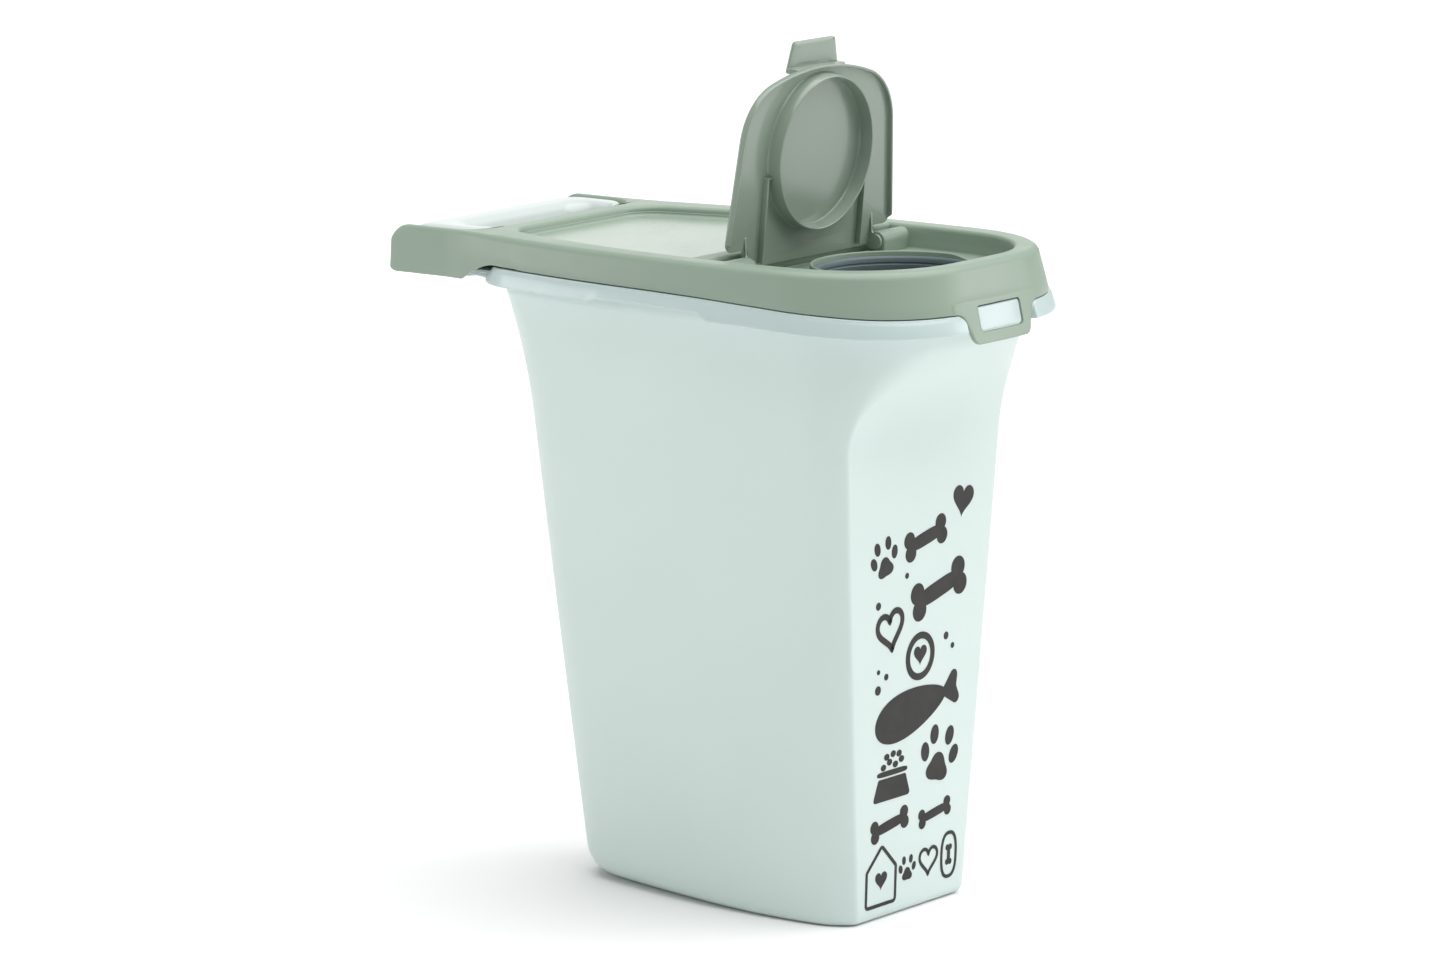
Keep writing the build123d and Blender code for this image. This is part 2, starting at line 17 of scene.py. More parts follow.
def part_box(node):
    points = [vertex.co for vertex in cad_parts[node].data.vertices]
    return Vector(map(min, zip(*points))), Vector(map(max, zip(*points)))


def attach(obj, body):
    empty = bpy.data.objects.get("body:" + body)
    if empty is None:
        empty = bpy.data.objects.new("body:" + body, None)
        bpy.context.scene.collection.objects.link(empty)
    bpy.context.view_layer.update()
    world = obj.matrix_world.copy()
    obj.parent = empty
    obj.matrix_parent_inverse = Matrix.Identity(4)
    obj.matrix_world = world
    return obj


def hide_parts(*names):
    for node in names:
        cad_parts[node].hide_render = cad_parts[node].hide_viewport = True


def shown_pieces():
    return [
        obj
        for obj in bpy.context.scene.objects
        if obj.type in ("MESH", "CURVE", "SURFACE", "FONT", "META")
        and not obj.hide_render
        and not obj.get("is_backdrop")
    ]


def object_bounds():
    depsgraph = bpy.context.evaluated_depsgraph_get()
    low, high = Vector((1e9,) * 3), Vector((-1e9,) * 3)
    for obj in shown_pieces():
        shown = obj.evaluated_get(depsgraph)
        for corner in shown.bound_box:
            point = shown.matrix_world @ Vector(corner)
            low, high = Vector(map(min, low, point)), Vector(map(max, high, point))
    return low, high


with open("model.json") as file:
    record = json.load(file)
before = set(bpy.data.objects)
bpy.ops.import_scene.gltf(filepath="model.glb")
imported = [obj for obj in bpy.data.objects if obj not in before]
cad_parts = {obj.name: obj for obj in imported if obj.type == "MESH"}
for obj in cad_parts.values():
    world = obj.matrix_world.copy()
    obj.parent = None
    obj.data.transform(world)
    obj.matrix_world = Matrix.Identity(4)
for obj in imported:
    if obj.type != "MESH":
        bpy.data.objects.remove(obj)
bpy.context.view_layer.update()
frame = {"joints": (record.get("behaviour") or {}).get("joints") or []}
MM = 0.001

# %% [markdown]
# ## Measures from the frame
# A piece goes where the CAD node stands, so the heights of the lid and rim, the hinge axis and the
# handle's reach are read from the frame's boxes and joints. All shape functions below work in
# millimetres, and the mesh maker turns them into metres once, at the end.

# %% Read the main places
def box_mm(node):
    """Lowest and highest corners of a CAD node, in millimetres."""
    low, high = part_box(node)
    return np.array(low) / MM, np.array(high) / MM


lid_low, lid_high = box_mm("lid")
handle_low, handle_high = box_mm("carry_handle")
seal_low, seal_high = box_mm("spout_seal")
CATCH_BOTTOM = box_mm("catch_tab")[0][2]
joints = {joint["name"]: joint for joint in frame["joints"]}
hinge = np.array(joints["flap_hinge"]["pos_m"]) / MM
OPEN = math.radians(joints["flap_hinge"]["range_deg"][1])

LID_TOP = lid_high[2]
ARM_BOTTOM = lid_low[2]
ARM_END = lid_high[1]
UPSTAND_TOP = box_mm("bucket")[1][2]
SPOUT_Y = (seal_low[1] + seal_high[1]) / 2
print("lid top", round(LID_TOP, 1), "hinge axis", hinge.round(1), "spout centre y", round(SPOUT_Y, 1))

# %% [markdown]
# ## From numbers to a mesh
# Nearly every moulding here is a stack of closed rings: a bucket wall, a lid's edge carried round its
# outline, a handle. So one helper turns an array of rings into a mesh. Quads join neighbouring rings.
# The stack either bites its own tail, like a tyre, or each end is closed by one point. The signed volume
# tells whether the faces look outwards, and the whole mesh is turned over when they don't.

# %% The mesh maker
def quads_between(count, size, looped):
    """Corner numbers of the quads that join each ring to the next, as one array."""
    row = np.arange(count if looped else count - 1)[:, None]
    col = np.arange(size)[None, :]
    here, after = row * size, ((row + 1) % count) * size
    side = (col + 1) % size
    return np.stack([here + col, here + side, after + side, after + col], -1).reshape(-1, 4)


def signed_volume(points, faces):
    """Six times the volume inside the faces: each one is a fan of pyramids from the origin."""
    total = 0.0
    for k in range(1, faces.shape[1] - 1):
        a, b, c = points[faces[:, 0]], points[faces[:, k]], points[faces[:, k + 1]]
        total += float(np.sum(a * np.cross(b, c)))
    return total


def closed_stack(rings, looped):
    """Points, quads and triangles of a closed stack of rings, with every face looking outwards."""
    rings = np.asarray(rings, float)
    count, size = rings.shape[:2]
    points = rings.reshape(-1, 3)
    quads = quads_between(count, size, looped)
    tris = np.zeros((0, 3), int)
    volume = signed_volume(points, quads)
    if not looped:
        points = np.vstack([points, rings[0].mean(0), rings[-1].mean(0)])
        col, start = np.arange(size), (count - 1) * size
        low = np.stack([np.full(size, count * size), (col + 1) % size, col], -1)
        high = np.stack([np.full(size, count * size + 1), start + col, start + (col + 1) % size], -1)
        tris = np.vstack([low, high])
        volume += signed_volume(points, tris)
    if volume < 0:
        quads, tris = quads[:, ::-1], tris[:, ::-1]
    return points, quads, tris


def skin(name, rings, body, replaces=(), looped=False, crease=38):
    """A piece from rings, an array of (rings, points, 3) in millimetres, riding on a body."""
    mesh_piece(name, *closed_stack(rings, looped), body, replaces, crease)


def mesh_piece(name, points, quads, tris, body, replaces=(), crease=38):
    """Puts points and faces into a new object that rides on a body."""
    mesh = bpy.data.meshes.new(name)
    mesh.vertices.add(len(points))
    mesh.vertices.foreach_set("co", (points * MM).ravel())
    corners = np.concatenate([quads.ravel(), tris.ravel()])
    sizes = np.concatenate([np.full(len(quads), 4), np.full(len(tris), 3)])
    mesh.loops.add(len(corners))
    mesh.loops.foreach_set("vertex_index", corners)
    mesh.polygons.add(len(sizes))
    mesh.polygons.foreach_set("loop_start", np.concatenate([[0], np.cumsum(sizes)[:-1]]))
    mesh.polygons.foreach_set("loop_total", sizes)
    mesh.update(calc_edges=True)
    mesh.validate()
    mesh.polygons.foreach_set("use_smooth", np.ones(len(mesh.polygons), bool))
    mesh.set_sharp_from_angle(angle=math.radians(crease))
    piece = bpy.data.objects.new(name, mesh)
    bpy.context.scene.collection.objects.link(piece)
    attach(piece, body)
    if replaces:
        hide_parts(*replaces)
    print(name, len(mesh.polygons), "faces")


# %% [markdown]
# ## The plan of the bin
# Seen from above, every level of the bin is one outline: a bowed front, two bowed sides that are widest
# forward of the middle, a straight rear, and four round corners. The outline is worked out piece by
# piece, always with the same number of points on each piece, so that any two levels can be joined
# point to point without twisting.

# %% Plan outline
WIDEST_Y = -40.0
PARTS = {"front": 60, "front_corner": 48, "side": 60, "rear_corner": 28, "rear": 20}


def along(start, end, count):
    """Even steps from start up to, but not including, end."""
    return start + (end - start) * np.arange(count) / count


def corner_centre(centre_a, reach_a, centre_b, reach_b):
    """Where two circles cross, on the side of +x and the front: the centre of a rounding."""
    gap = centre_b - centre_a
    far = np.hypot(*gap)
    run = (reach_a**2 - reach_b**2 + far**2) / (2 * far)
    rise = math.sqrt(reach_a**2 - run**2)
    square = np.array([gap[1], -gap[0]]) / far
    options = [centre_a + gap * run / far + square * rise, centre_a + gap * run / far - square * rise]
    return max(options, key=lambda p: p[0] - p[1])


def outline(half, front, rear, front_round, rear_round, bow, front_bow=900.0):
    """A plan outline as an array of points, anticlockwise from the middle of the front."""
    side_centre = np.array([half - bow, WIDEST_Y])
    front_centre = np.array([0.0, front + front_bow])
    corner = corner_centre(side_centre, bow - front_round, front_centre, front_bow - front_round)
    to_front = corner - front_centre
    to_side = corner - side_centre
    angle_front = math.atan2(to_front[1], to_front[0])
    angle_side = math.atan2(to_side[1], to_side[0])
    rear_y = rear - rear_round
    rear_x = side_centre[0] + math.sqrt((bow - rear_round) ** 2 - (rear_y - WIDEST_Y) ** 2)
    angle_rear = math.atan2(rear_y - WIDEST_Y, rear_x - side_centre[0])
    steps = {
        "front": (front_centre, front_bow, along(-math.pi / 2, angle_front, PARTS["front"])),
        "front_corner": (corner, front_round, along(angle_front, angle_side, PARTS["front_corner"])),
        "side": (side_centre, bow, along(angle_side, angle_rear, PARTS["side"])),
        "rear_corner": (
            np.array([rear_x, rear_y]), rear_round, along(angle_rear, math.pi / 2, PARTS["rear_corner"])
        ),
    }
    arcs = [c + r * np.stack([np.cos(t), np.sin(t)], -1) for c, r, t in steps.values()]
    rear_line = np.stack([along(rear_x, 0.0, PARTS["rear"]), np.full(PARTS["rear"], rear)], -1)
    half_plan = np.vstack([*arcs, rear_line])
    other = half_plan[1:][::-1] * [-1, 1]
    middle = np.array([[0.0, rear]])
    return np.vstack([half_plan, middle, other])


def at_height(plan, z):
    """Lifts a plan outline to a height, which may be one number or one for each point."""
    return np.column_stack([plan, np.broadcast_to(z, len(plan))])


def ease(x, low, high):
    """0 below low, 1 above high, and a smooth S between them."""
    t = np.clip((np.asarray(x, float) - low) / (high - low), 0, 1)
    return t * t * (3 - 2 * t)


def quarter(steps):
    """Sines and cosines of a quarter turn, for rounded edges."""
    turn = np.linspace(0, math.pi / 2, steps)
    return np.sin(turn), np.cos(turn)


print("points in an outline:", len(outline(100, -150, 120, 60, 30, 600)))

# %% [markdown]
# ## The bucket
# The tub grows with height, and above 285 mm it flares out to meet its rim. Its front is cut by a flat,
# slightly leaning panel. A mould leaves that cut with a soft edge, which fades away where the panel runs
# out into the flare. So each ring is the plan outline, pushed back behind the panel with a smooth
# maximum: the larger of two numbers, with a rounded corner where they change places.

# %% Shape of the tub
WALL = 2.2
FLARE_START, BODY_TOP = 285.0, 362.0
PANEL_Y, PANEL_LEAN, PANEL_FLARE, PANEL_TOP = -112.0, 0.0367, 41.0, 350.0
# Each size is given as its value at the floor, its change for each mm of height, and what the flare adds.
TUB_HALF = (67.4, 0.0817, 5.2)
TUB_FRONT = (-123.0, -0.0623, -18.6)
TUB_REAR = (109.5, 0.0532, 4.1)
TUB_FRONT_ROUND = (38.0, 0.0415, 21.0)
TUB_REAR_ROUND = (40.0, -0.03, -5.2)
TUB_BOW = (422.0, 1.2, 0.0)


def flare(z, end):
    """0 up to the start of the flare, then a square that reaches 1 at its end."""
    return np.clip((z - FLARE_START) / (end - FLARE_START), 0, 1) ** 2


def grown(law, z):
    """One of the tub's sizes at a height: a + b z + c times the flare."""
    return law[0] + law[1] * z + law[2] * float(flare(z, BODY_TOP))


def body_outline(z, inset=0.0):
    """The tub's plan at one height, less an even inset."""
    return outline(
        grown(TUB_HALF, z) - inset,
        grown(TUB_FRONT, z) + inset,
        grown(TUB_REAR, z) - inset,
        grown(TUB_FRONT_ROUND, z) - inset,
        grown(TUB_REAR_ROUND, z) - inset,
        grown(TUB_BOW, z),
    )


def panel_y(z):
    """Where the flat front panel stands at a height."""
    return PANEL_Y - PANEL_LEAN * z - PANEL_FLARE * flare(z, PANEL_TOP)


def smooth_max(a, b, width):
    """The larger of a and b, with a rounded corner of about that width where they cross."""
    t = np.clip(0.5 + 0.5 * (a - b) / width, 0, 1)
    return a * t + b * (1 - t) + width * t * (1 - t)


def tub_ring(z, inset=0.0, wall=0.0):
    """One ring of the tub: its plan, pushed back behind the front panel."""
    plan = body_outline(z, inset + wall)
    softness = 1.6 + 9.0 * ease(z, 300, 348)
    cut = smooth_max(plan[:, 1], panel_y(z) + inset + wall, softness)
    fade = 1 - ease(z, 338, 352)
    plan[:, 1] = plan[:, 1] + (cut - plan[:, 1]) * fade
    return at_height(plan, z)


# %% [markdown]
# ### The heel and the mouth
# Where the wall meets the floor it turns in on a quarter circle. The circle is small at the front and
# grows to three times that at the rear, so each point of a heel ring has a radius of its own. At the top
# the wall runs straight up as an upstand, rounds over, and comes down again as the inner wall.

# %% The heel
FLOOR, FOOT, HEEL = 2.5, 1.2, 20.0
heel_out, heel_in = tub_ring(0)[:, :2], tub_ring(0, HEEL)[:, :2]
heel_growth = tub_ring(HEEL)[:, :2] - heel_out
heel_round = 6.0 + 12.0 * ease(heel_out[:, 1], -95, 60)


def heel_ring(sine, cosine, wall, lift):
    """A ring of the rounded heel, given the sine and cosine of how far round its quarter circle it is."""
    radius = heel_round - wall
    inset = radius * (1 - sine) + wall
    z = lift + radius * (1 - cosine)
    plan = heel_out + (heel_in - heel_out) * (inset / HEEL)[:, None] + heel_growth * (z / HEEL)[:, None]
    return at_height(plan, z)


print("heel radius", heel_round.min().round(1), "to", heel_round.max().round(1))

# %% Make the tub
sin_q, cos_q = quarter(9)
heel = [heel_ring(s, c, 0, 0) for s, c in zip(sin_q, cos_q)]
levels = np.concatenate([np.linspace(21, 284, 44), np.linspace(287, BODY_TOP, 40)])
outer = [tub_ring(z) for z in levels]
half_wall = WALL / 2
lip = UPSTAND_TOP - half_wall
neck = [at_height(body_outline(BODY_TOP), z) for z in np.linspace(BODY_TOP + 2, lip, 8)]
half_turn = np.linspace(0, math.pi, 9)
lip_round = [
    at_height(body_outline(BODY_TOP, half_wall * (1 - c)), lip + half_wall * s)
    for s, c in zip(np.sin(half_turn), np.cos(half_turn))
]
inner_neck = [at_height(body_outline(BODY_TOP, WALL), z) for z in np.linspace(lip, BODY_TOP + 2, 5)]
levels = np.concatenate([np.linspace(BODY_TOP, 287, 24), np.linspace(280, 24, 24)])
inner = [tub_ring(z, wall=WALL) for z in levels]
inner_heel = [heel_ring(s, c, WALL, FLOOR) for s, c in zip(sin_q[::-1], cos_q[::-1])]


def shrink(ring, share, z):
    """A ring drawn in towards its own middle, at a height."""
    centre = ring[:, :2].mean(0)
    return at_height(centre + (ring[:, :2] - centre) * share, z)


foot_steps = ((0.03, FOOT), (0.5, FOOT), (0.9, FOOT), (0.93, 0.3), (0.95, 0))
under = [shrink(heel[0], share, z) for share, z in foot_steps]
floor_rings = [shrink(inner_heel[-1], share, FLOOR) for share in (0.9, 0.6, 0.3, 0.03)]
skin(
    "tub",
    under + heel + outer + neck + lip_round + inner_neck + inner + inner_heel + floor_rings,
    "bin_body",
    replaces=("bucket",),
)

# %% [markdown]
# ## The catch's outline, and the line under the skirt
# The rim and the skirt share one long edge. It is not level: it stands highest along the rear half and
# dips at the front, so the lid looks deeper where the spout is. At the front it runs into the flanks of
# the catch. Both lines are needed before the rim can be made, so they come first.

# %% Edge lines
def rounded_polygon(corners, radii, steps=10):
    """A closed outline with its corners rounded: each arc touches both sides of its corner."""
    corners = np.array(corners, float)
    pieces = []
    for k, (corner, radius) in enumerate(zip(corners, radii)):
        back, ahead = corners[k - 1] - corner, corners[(k + 1) % len(corners)] - corner
        back, ahead = back / np.linalg.norm(back), ahead / np.linalg.norm(ahead)
        if radius == 0:
            pieces.append(corner[None, :])
            continue
        half = math.acos(np.clip(back @ ahead, -1, 1)) / 2
        reach = radius / math.tan(half)
        middle = (back + ahead) / np.linalg.norm(back + ahead)
        centre = corner + middle * radius / math.sin(half)
        start, end = corner + back * reach - centre, corner + ahead * reach - centre
        sweep = math.atan2(start[0] * end[1] - start[1] * end[0], start @ end)
        turn_by = np.linspace(0, sweep, steps)
        pieces.append(centre + np.stack([
            start[0] * np.cos(turn_by) - start[1] * np.sin(turn_by),
            start[0] * np.sin(turn_by) + start[1] * np.cos(turn_by),
        ], -1))
    return np.vstack(pieces)


CATCH_WALL = 2.4
CATCH_WIDE, FRONT_EDGE = 46.0, 369.0
catch_line = rounded_polygon(
    [
        (-CATCH_WIDE, 378), (-CATCH_WIDE, FRONT_EDGE), (-35, FRONT_EDGE), (-27.4, CATCH_BOTTOM),
        (27.4, CATCH_BOTTOM), (35, FRONT_EDGE), (CATCH_WIDE, FRONT_EDGE), (CATCH_WIDE, 378),
    ],
    [0, 0, 8.5, 6, 6, 8.5, 0, 0],
)
flank = catch_line[(catch_line[:, 0] > 20) & (catch_line[:, 1] > 355)]
flank = flank[flank[:, 1] < FRONT_EDGE + 0.01]
flank = flank[np.argsort(flank[:, 1])]


def bent_line(y, places, heights):
    """A height for each y, smooth between a few given places."""
    y = np.asarray(y, float)
    near = np.interp(y, places, heights)
    return (np.interp(y - 9, places, heights) + 2 * near + np.interp(y + 9, places, heights)) / 4


SKIRT_HALF, SKIRT_FRONT, SKIRT_REAR = 107.5, -169.6, 152.0
SIDE_DRAFT, FRONT_DRAFT = 0.17, 0.225
FRONT_ROUND, REAR_ROUND, SIDE_BOW, FRONT_BOW = 84.0, 30.0, 855.0, 400.0
SKIRT_LOW = 366.0
EDGE_Y = (-175, -152, -122, -85, -40, 0, 100)
EDGE_Z = (368.9, 369.7, 372.2, 374.4, 376.5, 377.4, 377.9)


def under_skirt(y):
    """Height of the skirt's lower edge along the bin."""
    return bent_line(y, EDGE_Y, EDGE_Z)


def skirt_outline(z, inset=0.0):
    """The lid's skirt at a height, without the arms, less an even inset."""
    down = LID_TOP - z
    front = SKIRT_FRONT - FRONT_DRAFT * down + inset
    side = SKIRT_HALF + SIDE_DRAFT * down - inset
    rear, front_round, rear_round = SKIRT_REAR - inset, FRONT_ROUND - inset, REAR_ROUND - inset
    return outline(side, front, rear, front_round, rear_round, SIDE_BOW, FRONT_BOW)


def front_face(plan, x):
    """How far forward a plan outline stands at each x, read off its front and front corner."""
    half = plan[: PARTS["front"] + 24]
    return np.interp(np.abs(x), half[:, 0], half[:, 1])


def skirt_face(x, z):
    """How far forward the lid's skirt stands at x and a height."""
    return front_face(skirt_outline(SKIRT_LOW), x) - FRONT_DRAFT * (SKIRT_LOW - z)


print("the skirt's edge: front", under_skirt(-175.0).round(1), "rear", under_skirt(90.0).round(1))

# %% [markdown]
# ## The rim
# Just under the lid the bucket turns out into a flange, and a short glossy skirt hangs from the flange's
# edge. It stiffens the mouth. It starts flush under the lid and leans out, and its lower edge steps up
# along the middle of each side. At the front it stops at the catch's flanks. The profile is carried round
# the plan. Near the front each ring's points slide sideways, so that two of them always stand just inside
# and just outside the flank, and that gives the rim a clean end without any cutting.

# %% Shape of the rim
FLANGE_TOP, FLANGE_UNDER = 372.4, 370.2
RIM_BOTTOM, RIM_STEP, RIM_GAP, RIM_TALL = 363.5, 4.5, 0.5, 9.5
RIM_HALF, RIM_FRONT, RIM_REAR, RIM_REAR_ROUND = 113.6, -178.0, 148.0, 44.0
SLIDE_TO = 62.0
SAG_Y = (-175, -152, -122, -85, -40, 0, 65, 150)
SAG_Z = (-5.4, -4.9, -3.2, -1.2, 0.2, 1.3, 3.4, 3.6)


def rim_top(y):
    """Height of the rim's upper edge: just under the skirt, and lower behind, under the handle."""
    behind = ease(y, 127, 143)
    return (under_skirt(y) - 0.6) * (1 - behind) + FLANGE_TOP * behind


def rim_low(plan):
    """Height of the rim's lower edge, with its step along the middle of each side."""
    y = plan[:, 1]
    step = ease(y, -48, -43) * (1 - ease(y, 36, 41)) * (np.abs(plan[:, 0]) > 60)
    return RIM_BOTTOM + bent_line(y, SAG_Y, SAG_Z) + (RIM_STEP - 1.5 * ease(y, 0, 35)) * step


def slid_to_flank(reach, end):
    """Distances from the middle, stretched so that a pair of them falls on either side of the flank."""
    goals = np.stack([np.zeros(len(end)), end - 0.05, end + 0.05, np.full(len(end), SLIDE_TO)])
    marks = np.array([0.0, 36.0, 36.7, SLIDE_TO])
    slot = np.clip(np.searchsorted(marks, reach) - 1, 0, 2)
    part = (reach - marks[slot]) / (marks[slot + 1] - marks[slot])
    column = np.arange(len(end))
    return goals[slot, column] * (1 - part) + goals[slot + 1, column] * part


def rim_ring(share, inset, lift=0.0):
    """A ring of the rim's face: share 0 is its upper edge and 1 its lower edge."""
    down = RIM_TALL * share
    out = SIDE_DRAFT * down - 2.0 * max(1 - down / 8.5, 0) ** 1.5 - inset
    rounds = FRONT_ROUND + out, RIM_REAR_ROUND + out
    plan = outline(RIM_HALF + out, RIM_FRONT - out, RIM_REAR + out, *rounds, SIDE_BOW, FRONT_BOW)
    z = rim_top(plan[:, 1]) * (1 - share) + rim_low(plan) * share + lift
    end = np.interp(z, flank[:, 1], flank[:, 0]) + RIM_GAP
    reach = np.abs(plan[:, 0])
    slid = slid_to_flank(reach, end)
    ahead = (plan[:, 1] < -100) & (reach < SLIDE_TO)
    y = np.where(ahead, front_face(plan, slid), plan[:, 1])
    y = np.where(ahead & (slid < end), skirt_face(slid, z) + CATCH_WALL + 0.5 + inset, y)
    x = np.where(ahead, slid * np.sign(plan[:, 0]), plan[:, 0])
    return np.column_stack([x, y, z])


print("the rim is", RIM_TALL, "mm tall and stops", RIM_GAP, "mm from the catch")

# %% Make the rim
root = body_outline(BODY_TOP, 0.4)
s5, c5 = quarter(6)
rim_rings = [at_height(root, rim_top(root[:, 1]))]
rim_rings += [rim_ring(0, 0.8 * (1 - s), -0.8 * (1 - c)) for s, c in zip(s5, c5)]
rim_rings += [rim_ring(share, 0) for share in (0.15, 0.3, 0.45, 0.6, 0.8)]
rim_rings += [rim_ring(1, 0.6 * (1 - c), 0.6 * (1 - s)) for s, c in zip(s5, c5)]
rim_rings += [rim_ring(1, 1.4 + 0.6 * s, 0.6 * (1 - c)) for s, c in zip(s5, c5)]
rim_rings += [rim_ring(share, 2.0) for share in (0.75, 0.45)]
rim_rings += [at_height(root, rim_top(root[:, 1]) - 2.2)]
skin("rim", rim_rings, "bin_body", looped=True, crease=50)

# %% [markdown]
# ## Small blocks
# The pads and ribs under the handle's feet are short straight mouldings. Each one is a rounded rectangle
# carried along a line. A block gets a little smaller at both ends, so that no edge is knife sharp.

# %% Rounded blocks
def rounded_rectangle(width, height, radius, steps=6):
    """A rectangle with round corners about its own middle, as an array of 2-D points."""
    turn = np.linspace(0, math.pi / 2, steps)
    x, y = width / 2 - radius, height / 2 - radius
    corners = []
    for k, (sx, sy) in enumerate(((1, 1), (-1, 1), (-1, -1), (1, -1))):
        angle = turn + k * math.pi / 2
        corners.append(np.stack([sx * x + radius * np.cos(angle), sy * y + radius * np.sin(angle)], -1))
    return np.vstack(corners)


def block(name, low, high, axis, body, radius=0.6):
    """A block between two corners, with every edge rounded, carried along one axis."""
    low, high = np.array(low, float), np.array(high, float)
    across = [k for k in range(3) if k != axis]
    size, centre = high - low, (low + high) / 2
    sin_e, cos_e = quarter(4)
    near = [(radius * (1 - s), low[axis] + radius * (1 - c)) for s, c in zip(sin_e, cos_e)]
    far = [(inset, high[axis] + low[axis] - place) for inset, place in near[::-1]]
    rings = []
    for inset, place in near + far:
        flat = rounded_rectangle(*(size[across] - 2 * inset), max(radius - inset, 0.05))
        ring = np.full((len(flat), 3), place)
        ring[:, across] = flat + centre[across]
        rings.append(ring)
    skin(name, rings, body)


# %% Pads and ribs
PAD_IN, PAD_OUT, PAD_ROOT, PAD_END = 57.0, 78.0, 131.4, 178.0
RIB_X, RIB_TOP, RIB_WIDE = (58, 64.5, 70.5, 77), 371.0, 1.6
RIB_LINE = ((133, 364.5), (148, 367.8), (176, 370.0))

for side, word in ((-1, "left"), (1, "right")):
    x_in, x_out = sorted((side * PAD_IN, side * PAD_OUT))
    pad_low, pad_high = (x_in, PAD_ROOT, FLANGE_UNDER), (x_out, PAD_END, FLANGE_TOP)
    block(f"handle_pad_{word}", pad_low, pad_high, 1, "bin_body", 0.5)
    for number, x in enumerate(RIB_X):
        rings = []
        for y, bottom in RIB_LINE:
            flat = rounded_rectangle(RIB_WIDE, RIB_TOP - bottom, 0.5)
            ring = np.full((len(flat), 3), float(y))
            ring[:, [0, 2]] = flat + [side * x, (RIB_TOP + bottom) / 2]
            rings.append(ring)
        skin(f"handle_rib_{word}_{number}", rings, "bin_body")

# %% [markdown]
# ## The lid's frame
# The lid's edge is one closed band: a skirt outside, a soft shoulder, a flat top, and a rounded step down
# into the pocket. A band like that is a profile carried right round the plan. Every ring comes from the
# plan outline with its own inset and height, and the stack closes on itself underneath. The floor of the
# pocket is deeper at the front, where the spout is, so the last rings take their height from y.

# %% Shape of the frame
SKIRT_BOTTOM, SHOULDER, POCKET_EDGE, COVE = 373.0, 4.2, 2.4, 1.8
PLATE, PLATE_UNDER = 2.2, 393.6
WELL_Z, RECESS_Z, BRIDGE_FRONT, BRIDGE_REAR = 382.0, 390.5, -32.0, -20.0
COLLAR_OUT, COLLAR_IN, COLLAR_TOP, COLLAR_LOW = 52.0, 50.2, 388.5, 374.0
POCKET_HALF, POCKET_FRONT, POCKET_REAR, POCKET_DRAFT = 91, -156, 138, 0.2
COVE_Z = 384.0


def pocket_outline(z, inset=0.0):
    """The pocket's plan at a height, less an even inset, kept clear of the spout's collar."""
    more = POCKET_DRAFT * (LID_TOP - z) + inset
    plan = outline(
        POCKET_HALF - more, POCKET_FRONT + more, POCKET_REAR - more, 66 - more, 24 - more, 600.0
    )
    from_spout = plan - [0, SPOUT_Y]
    far = np.linalg.norm(from_spout, axis=1, keepdims=True)
    return [0, SPOUT_Y] + from_spout / far * np.maximum(far, COLLAR_OUT - 0.6)


def pocket_floor(y):
    """Height of the pocket's floor: low in the well, high in the recess, one step under the bridge."""
    return WELL_Z + (RECESS_Z - WELL_Z) * ease(y, BRIDGE_FRONT + 1, BRIDGE_REAR - 1)


def skirt_edge(plan):
    """Height of the skirt's lower edge. It rises out of sight behind the arms and behind the catch."""
    x, y = np.abs(plan[:, 0]), plan[:, 1]
    behind_arm = 3.0 * ease(y, 104, 112) * (x > 60)
    between_arms = (SKIRT_BOTTOM - EDGE_Z[-1]) * ease(y, 125, 140) * (x < 60)
    notch = 6.0 * (1 - ease(x, 40.0, 42.5)) * (y < -100)
    return under_skirt(y) + behind_arm + between_arms + notch


edge = skirt_edge(skirt_outline(SKIRT_BOTTOM))


def skirt_ring(share, inset, lift=0.0):
    """A ring of the skirt between its shoulder, at share 0, and its lower edge, at share 1."""
    low = edge + 0.5
    z = (1 - share) * (LID_TOP - SHOULDER) + share * low + lift
    high_plan, low_plan = skirt_outline(LID_TOP, inset), skirt_outline(SKIRT_LOW, inset)
    mix = ((LID_TOP - z) / (LID_TOP - SKIRT_LOW))[:, None]
    return at_height(high_plan + (low_plan - high_plan) * mix, z)


print("the skirt's lower edge runs from", edge.min().round(1), "to", edge.max().round(1))

# %% Make the frame
s7, c7 = quarter(8)
frame_rings = [at_height(skirt_outline(PLATE_UNDER, PLATE), PLATE_UNDER)]
frame_rings += [skirt_ring(share, PLATE) for share in (0.0, 0.5, 1.0)]
frame_rings += [skirt_ring(1.0, 0.5 + (PLATE - 1.0) * k, -0.5) for k in (1.0, 0.5, 0.0)]
frame_rings += [skirt_ring(1.0, 0.15, -0.35), skirt_ring(1.0, 0.0)]
frame_rings += [skirt_ring(share, 0.0) for share in (0.7, 0.4, 0.1)]
for s, c in zip(s7, c7):
    z = LID_TOP - SHOULDER * (1 - s)
    frame_rings.append(at_height(skirt_outline(z, SHOULDER * (1 - c)), z))
for s, c in zip(s7, c7):
    z = LID_TOP - POCKET_EDGE * (1 - c)
    frame_rings.append(at_height(pocket_outline(z, -POCKET_EDGE * (1 - s)), z))
wall_top = LID_TOP - POCKET_EDGE
for share in (0.25, 0.5, 0.75):
    wall = pocket_outline(wall_top)
    low = pocket_floor(wall[:, 1]) + COVE
    z = wall_top + (low - wall_top) * share
    narrow = POCKET_DRAFT * (wall_top - z)[:, None]
    inner = pocket_outline(wall_top, 1.0) - wall
    frame_rings.append(at_height(wall + inner * narrow, z))
